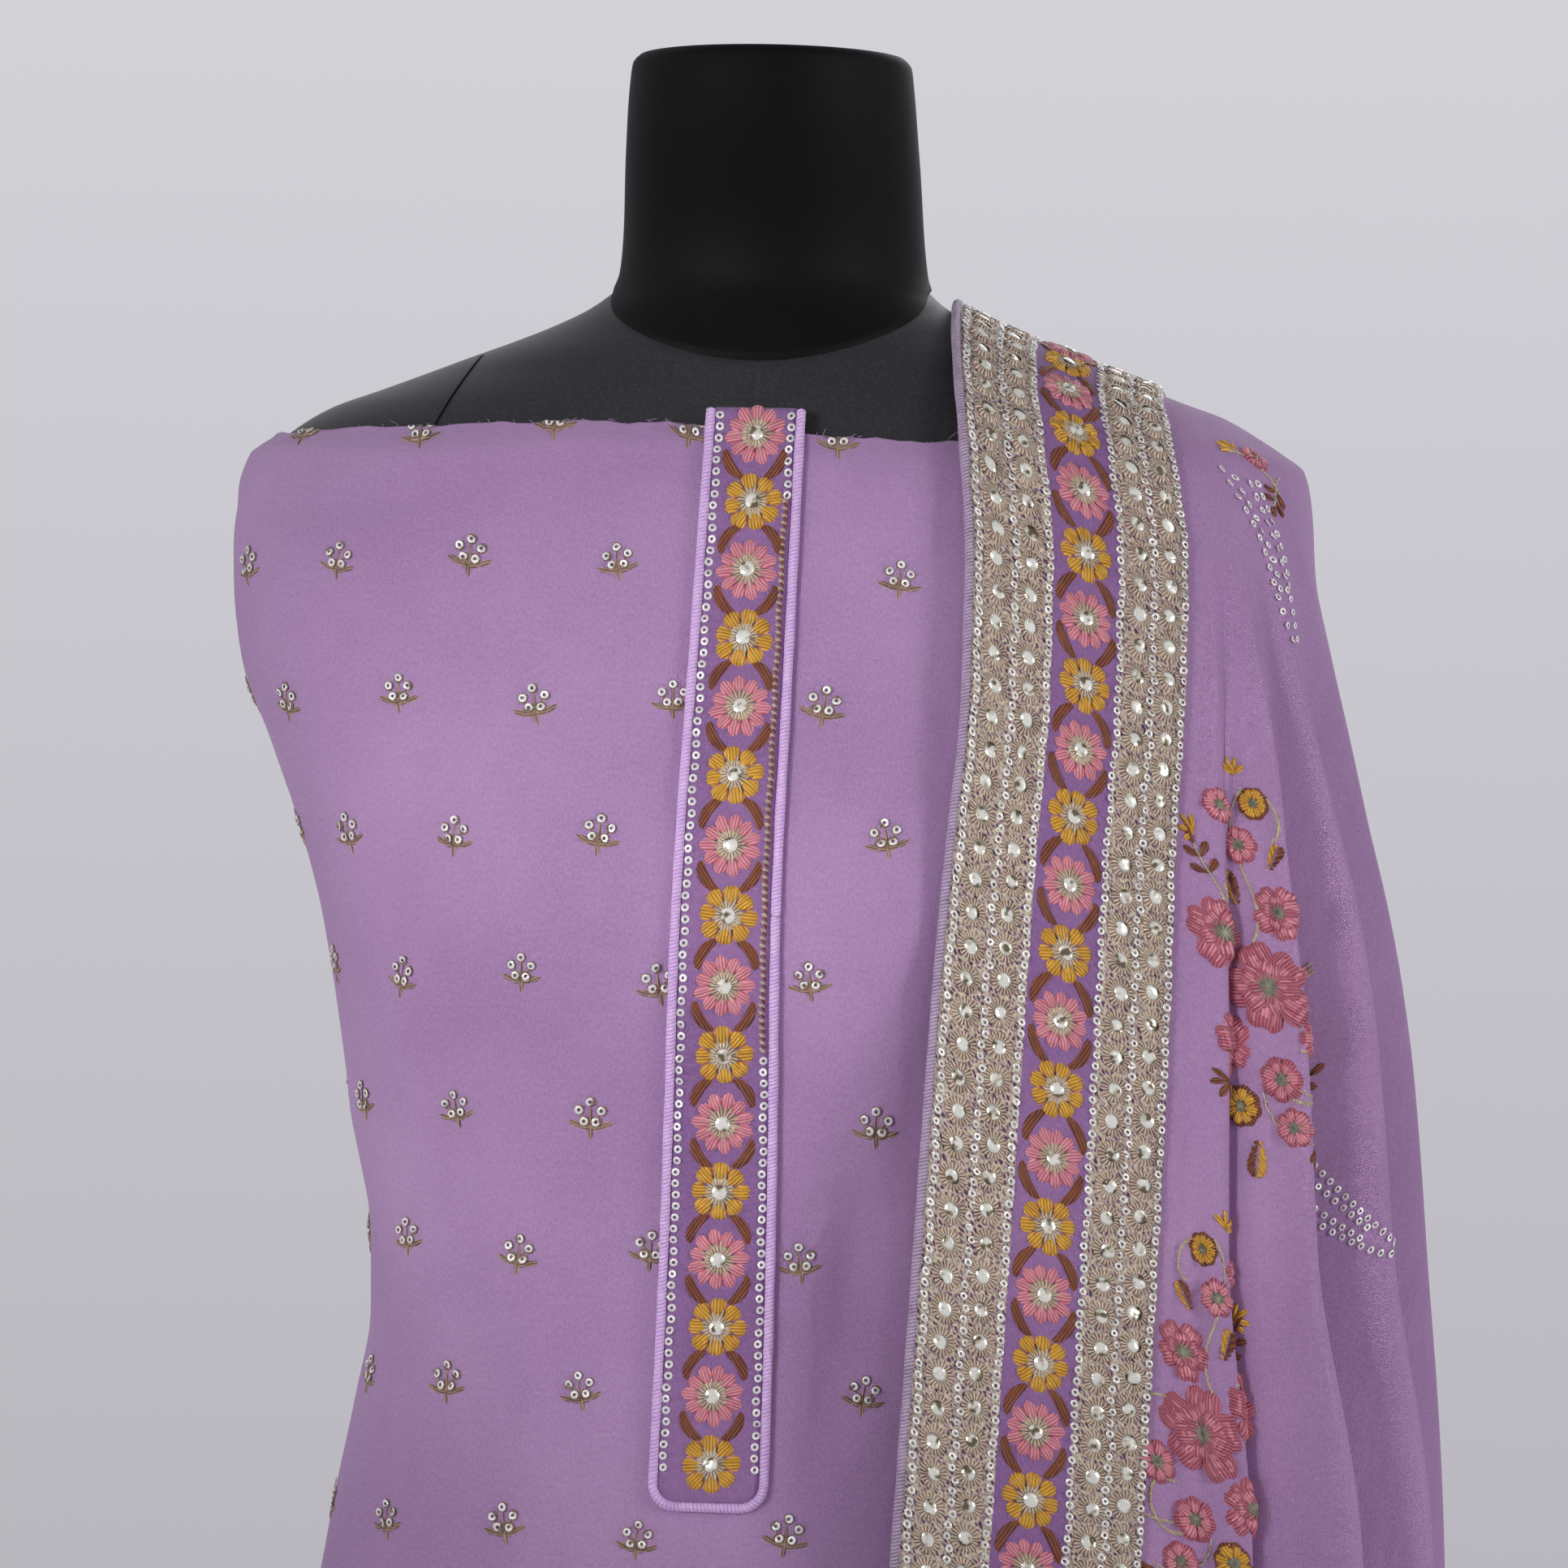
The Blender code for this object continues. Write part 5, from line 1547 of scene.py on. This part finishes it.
SPRAY = [
    Bloom(ROSE, 6, -2, 0.2, 1.15),
    Bloom(ROSE, -17, 14, 1.1, 0.92),
    Bloom(ROSE, 14, 26, 0.6, 0.72),
    Bloom(ROSE, -14, -24, 1.5, 0.78),
    Bloom(PINK_SMALL, 24, -19, 0.4, 1.05),
    Bloom(PINK_SMALL, 8, -35, 0.1, 1.10),
    Bloom(YELLOW_SMALL, -8, -46, 0.3, 1.00),
    Bloom(PINK_SMALL, 12, -52, 0.8, 0.95),
    Bloom(PINK_SMALL, 1, 50, 0.0, 0.95),
    Bloom(PINK_SMALL, -9, 62, 0.5, 0.85),
    Bloom(YELLOW_SMALL, 8, 66, 0.2, 0.80),
    Bloom(YELLOW_LEAVES, 0, 76, 0.2, 1.00),
    Bloom(YELLOW_LEAVES, -20, 50, 1.2, 1.00),
    Bloom(SHADED_LEAF, -2, 28, 0.3, 1.20),
    Bloom(SHADED_LEAF, 12, 42, -0.5, 1.00),
    Bloom(BROWN_SPRIG, -17, 34, 0.35, 1.10),
    Bloom(BROWN_SPRIG, 43, -36, -0.95, 1.05),
    Bloom(BROWN_BUD, 35, 15, -0.3, 1.10),
    Bloom(YELLOW_BUD, 42, 4, -1.1, 1.10),
    Bloom(BROWN_BUD, 36, -8, -2.1, 1.10),
    Bloom(SHADED_LEAF, -2, -58, 3.0, 1.30),
    Bloom(BROWN_LEAVES, 22, -58, 3.5, 1.10),
    Bloom(SHADED_LEAF, 26, -64, 3.3, 1.20),
    Bloom(BROWN_LEAVES, -22, -40, 2.2, 1.00),
]
Stem = namedtuple("Stem", "look points wide")
STEMS = [
    Stem("cream", [(2, 14), (5, 28), (1, 42), (3, 70)], 1.2),
    Stem("cream", [(14, 4), (22, 6), (30, 4), (38, 4)], 1.2),
    Stem("cream", [(30, 4), (31, 8), (33, 12)], 1.1),
    Stem("cream", [(30, 3), (32, -1), (34, -5)], 1.1),
    Stem("cream", [(14, -38), (24, -40), (34, -38), (40, -34)], 1.2),
    Stem("cream", [(16, -24), (25, -28), (24, -38), (13, -42)], 1.5),
    Stem("cream", [(7, 64), (13, 68), (17, 62), (15, 53)], 1.3),
    Stem("cream", [(-8, 20), (-11, 26), (-12, 32)], 1.1),
    Stem("zari", [(1, -40), (4, -50), (12, -56), (22, -56)], 1.1),
]


def place_spray(chart, a, b, turn=0.0, size=1.0, flip=1):
    for bloom in SPRAY:
        x, y = bloom.x * flip * size, bloom.y * size
        at = (
            a + (x * math.cos(turn) - y * math.sin(turn)) / 1000,
            b + (x * math.sin(turn) + y * math.cos(turn)) / 1000,
        )
        stamp(bloom.motif, chart, *at, turn + bloom.turn * flip, bloom.size * size)
    for look, points, wide in STEMS:
        spots = chain([(x * flip, y) for x, y in points], 1.25, wide)
        stamp([(look, BEAD, spots)], chart, a, b, turn, size)


def sequin_drop(chart, a, b, turn, long=1.0):
    """Double lines of sequins that taper to a point."""
    spots = []
    for s in (-1, 1):
        for k in range(13):
            x = s * (7.5 * (1 - k / 12.5) ** 0.7 + 0.8)
            spots.append((x, -4.4 * long * k, k, 1.35, 1.35, 0.0004))
            if k < 9:
                spots.append((x * 0.45, -4.4 * long * k - 2.0, k, 1.35, 1.35, 0.0004))
    stamp([("sequin", SEQUIN, spots)], chart, a, b, turn, 1.0, 0.22)


def cloth_spot(x, z):
    """The row and column of the dupatta's outermost point at a place on its front."""
    front = DUPATTA[..., 1] < 0
    near = np.hypot(DUPATTA[..., 0] - x, DUPATTA[..., 2] - z) + np.where(front, 0.0, 9.0)
    close = near < near.min() + 0.0025
    best = np.where(close, DUPATTA[..., 1], 9.0)
    return np.unravel_index(int(np.argmin(best)), best.shape)


def sew_sprays():
    lift = CLOTH / 2 + 0.0001
    for x, z, turn, size, flip in (
        (0.186, 1.150, 0.05, 1.0, 1),
        (0.178, 0.985, -0.10, 1.0, -1),
        (0.170, 0.800, 0.05, 1.0, 1),
        (0.176, 0.610, -0.05, 1.0, -1),
    ):
        row, column = cloth_spot(x, z)
        chart = local_chart(DUPATTA, row, column, 0.085, 0.095, 0.11, 0.11, 0.0016, lift)
        place_spray(chart, 0.0, 0.0, turn, size, flip)
        sequin_drop(chart, 0.050 * flip, -0.062, 0.9 * flip)
    row, column = cloth_spot(0.186, 1.336)
    chart = local_chart(DUPATTA, row, column, 0.05, 0.06, 0.10, 0.03, 0.0016, lift)
    stamp(YELLOW_LEAVES, chart, -0.006, 0.006, 0.9, 1.0)
    stamp(BROWN_SPRIG, chart, 0.012, -0.002, 2.6, 1.0)
    stamp(PINK_SMALL, chart, 0.004, 0.010, 0.2, 0.8)
    stamp([("cream", BEAD, chain([(-8, 4), (0, 7), (8, 4), (13, -2)], 1.25, 1.2))], chart, 0, 0)
    sequin_drop(chart, -0.008, -0.006, 0.05, 1.15)


sew_sprays()


# Loose thread ends along the raw top edge

def fray():
    verts, faces, count = [], [], 0
    top = KAMEEZ_GRID[0]
    for _ in range(150):
        at = RANDOM.uniform(0.04, 0.96) * (len(top) - 1)
        low = int(at)
        base = top[low] + (top[low + 1] - top[low]) * (at - low)
        outward = unit(base * [1, 1, 0])
        length = RANDOM.uniform(0.0008, 0.0030) if RANDOM.random() < 0.88 else RANDOM.uniform(0.004, 0.010)
        lean = RANDOM.normal(0, 0.6, 3)
        t = np.linspace(0, 1, 6)[:, None]
        along_edge = unit(top[low + 1] - top[low])
        path = base + outward * 0.0004 + t * length * (
            np.array([0, 0, 1.0]) + along_edge * lean[0] + outward * abs(lean[1]) * 0.4
        )
        path = path + (t**2) * length * (along_edge * lean[2] * 0.8 - np.array([0, 0, 0.5]))
        ring = tube_mesh(path, 0.00011, 4)
        verts.append(ring.reshape(-1, 3))
        faces.append(grid_faces(6, 4, True) + count)
        count += 24
    joined = np.concatenate(verts)
    return mesh_object(
        "raw_edge_threads",
        joined,
        np.concatenate(faces),
        LOOKS["kameez"],
        uv=joined[:, :2],
    )


fray()

for key, pile in piles.items():
    pile.build(f"stitched_{key}", LOOKS[key], smooth=key != "mirror")
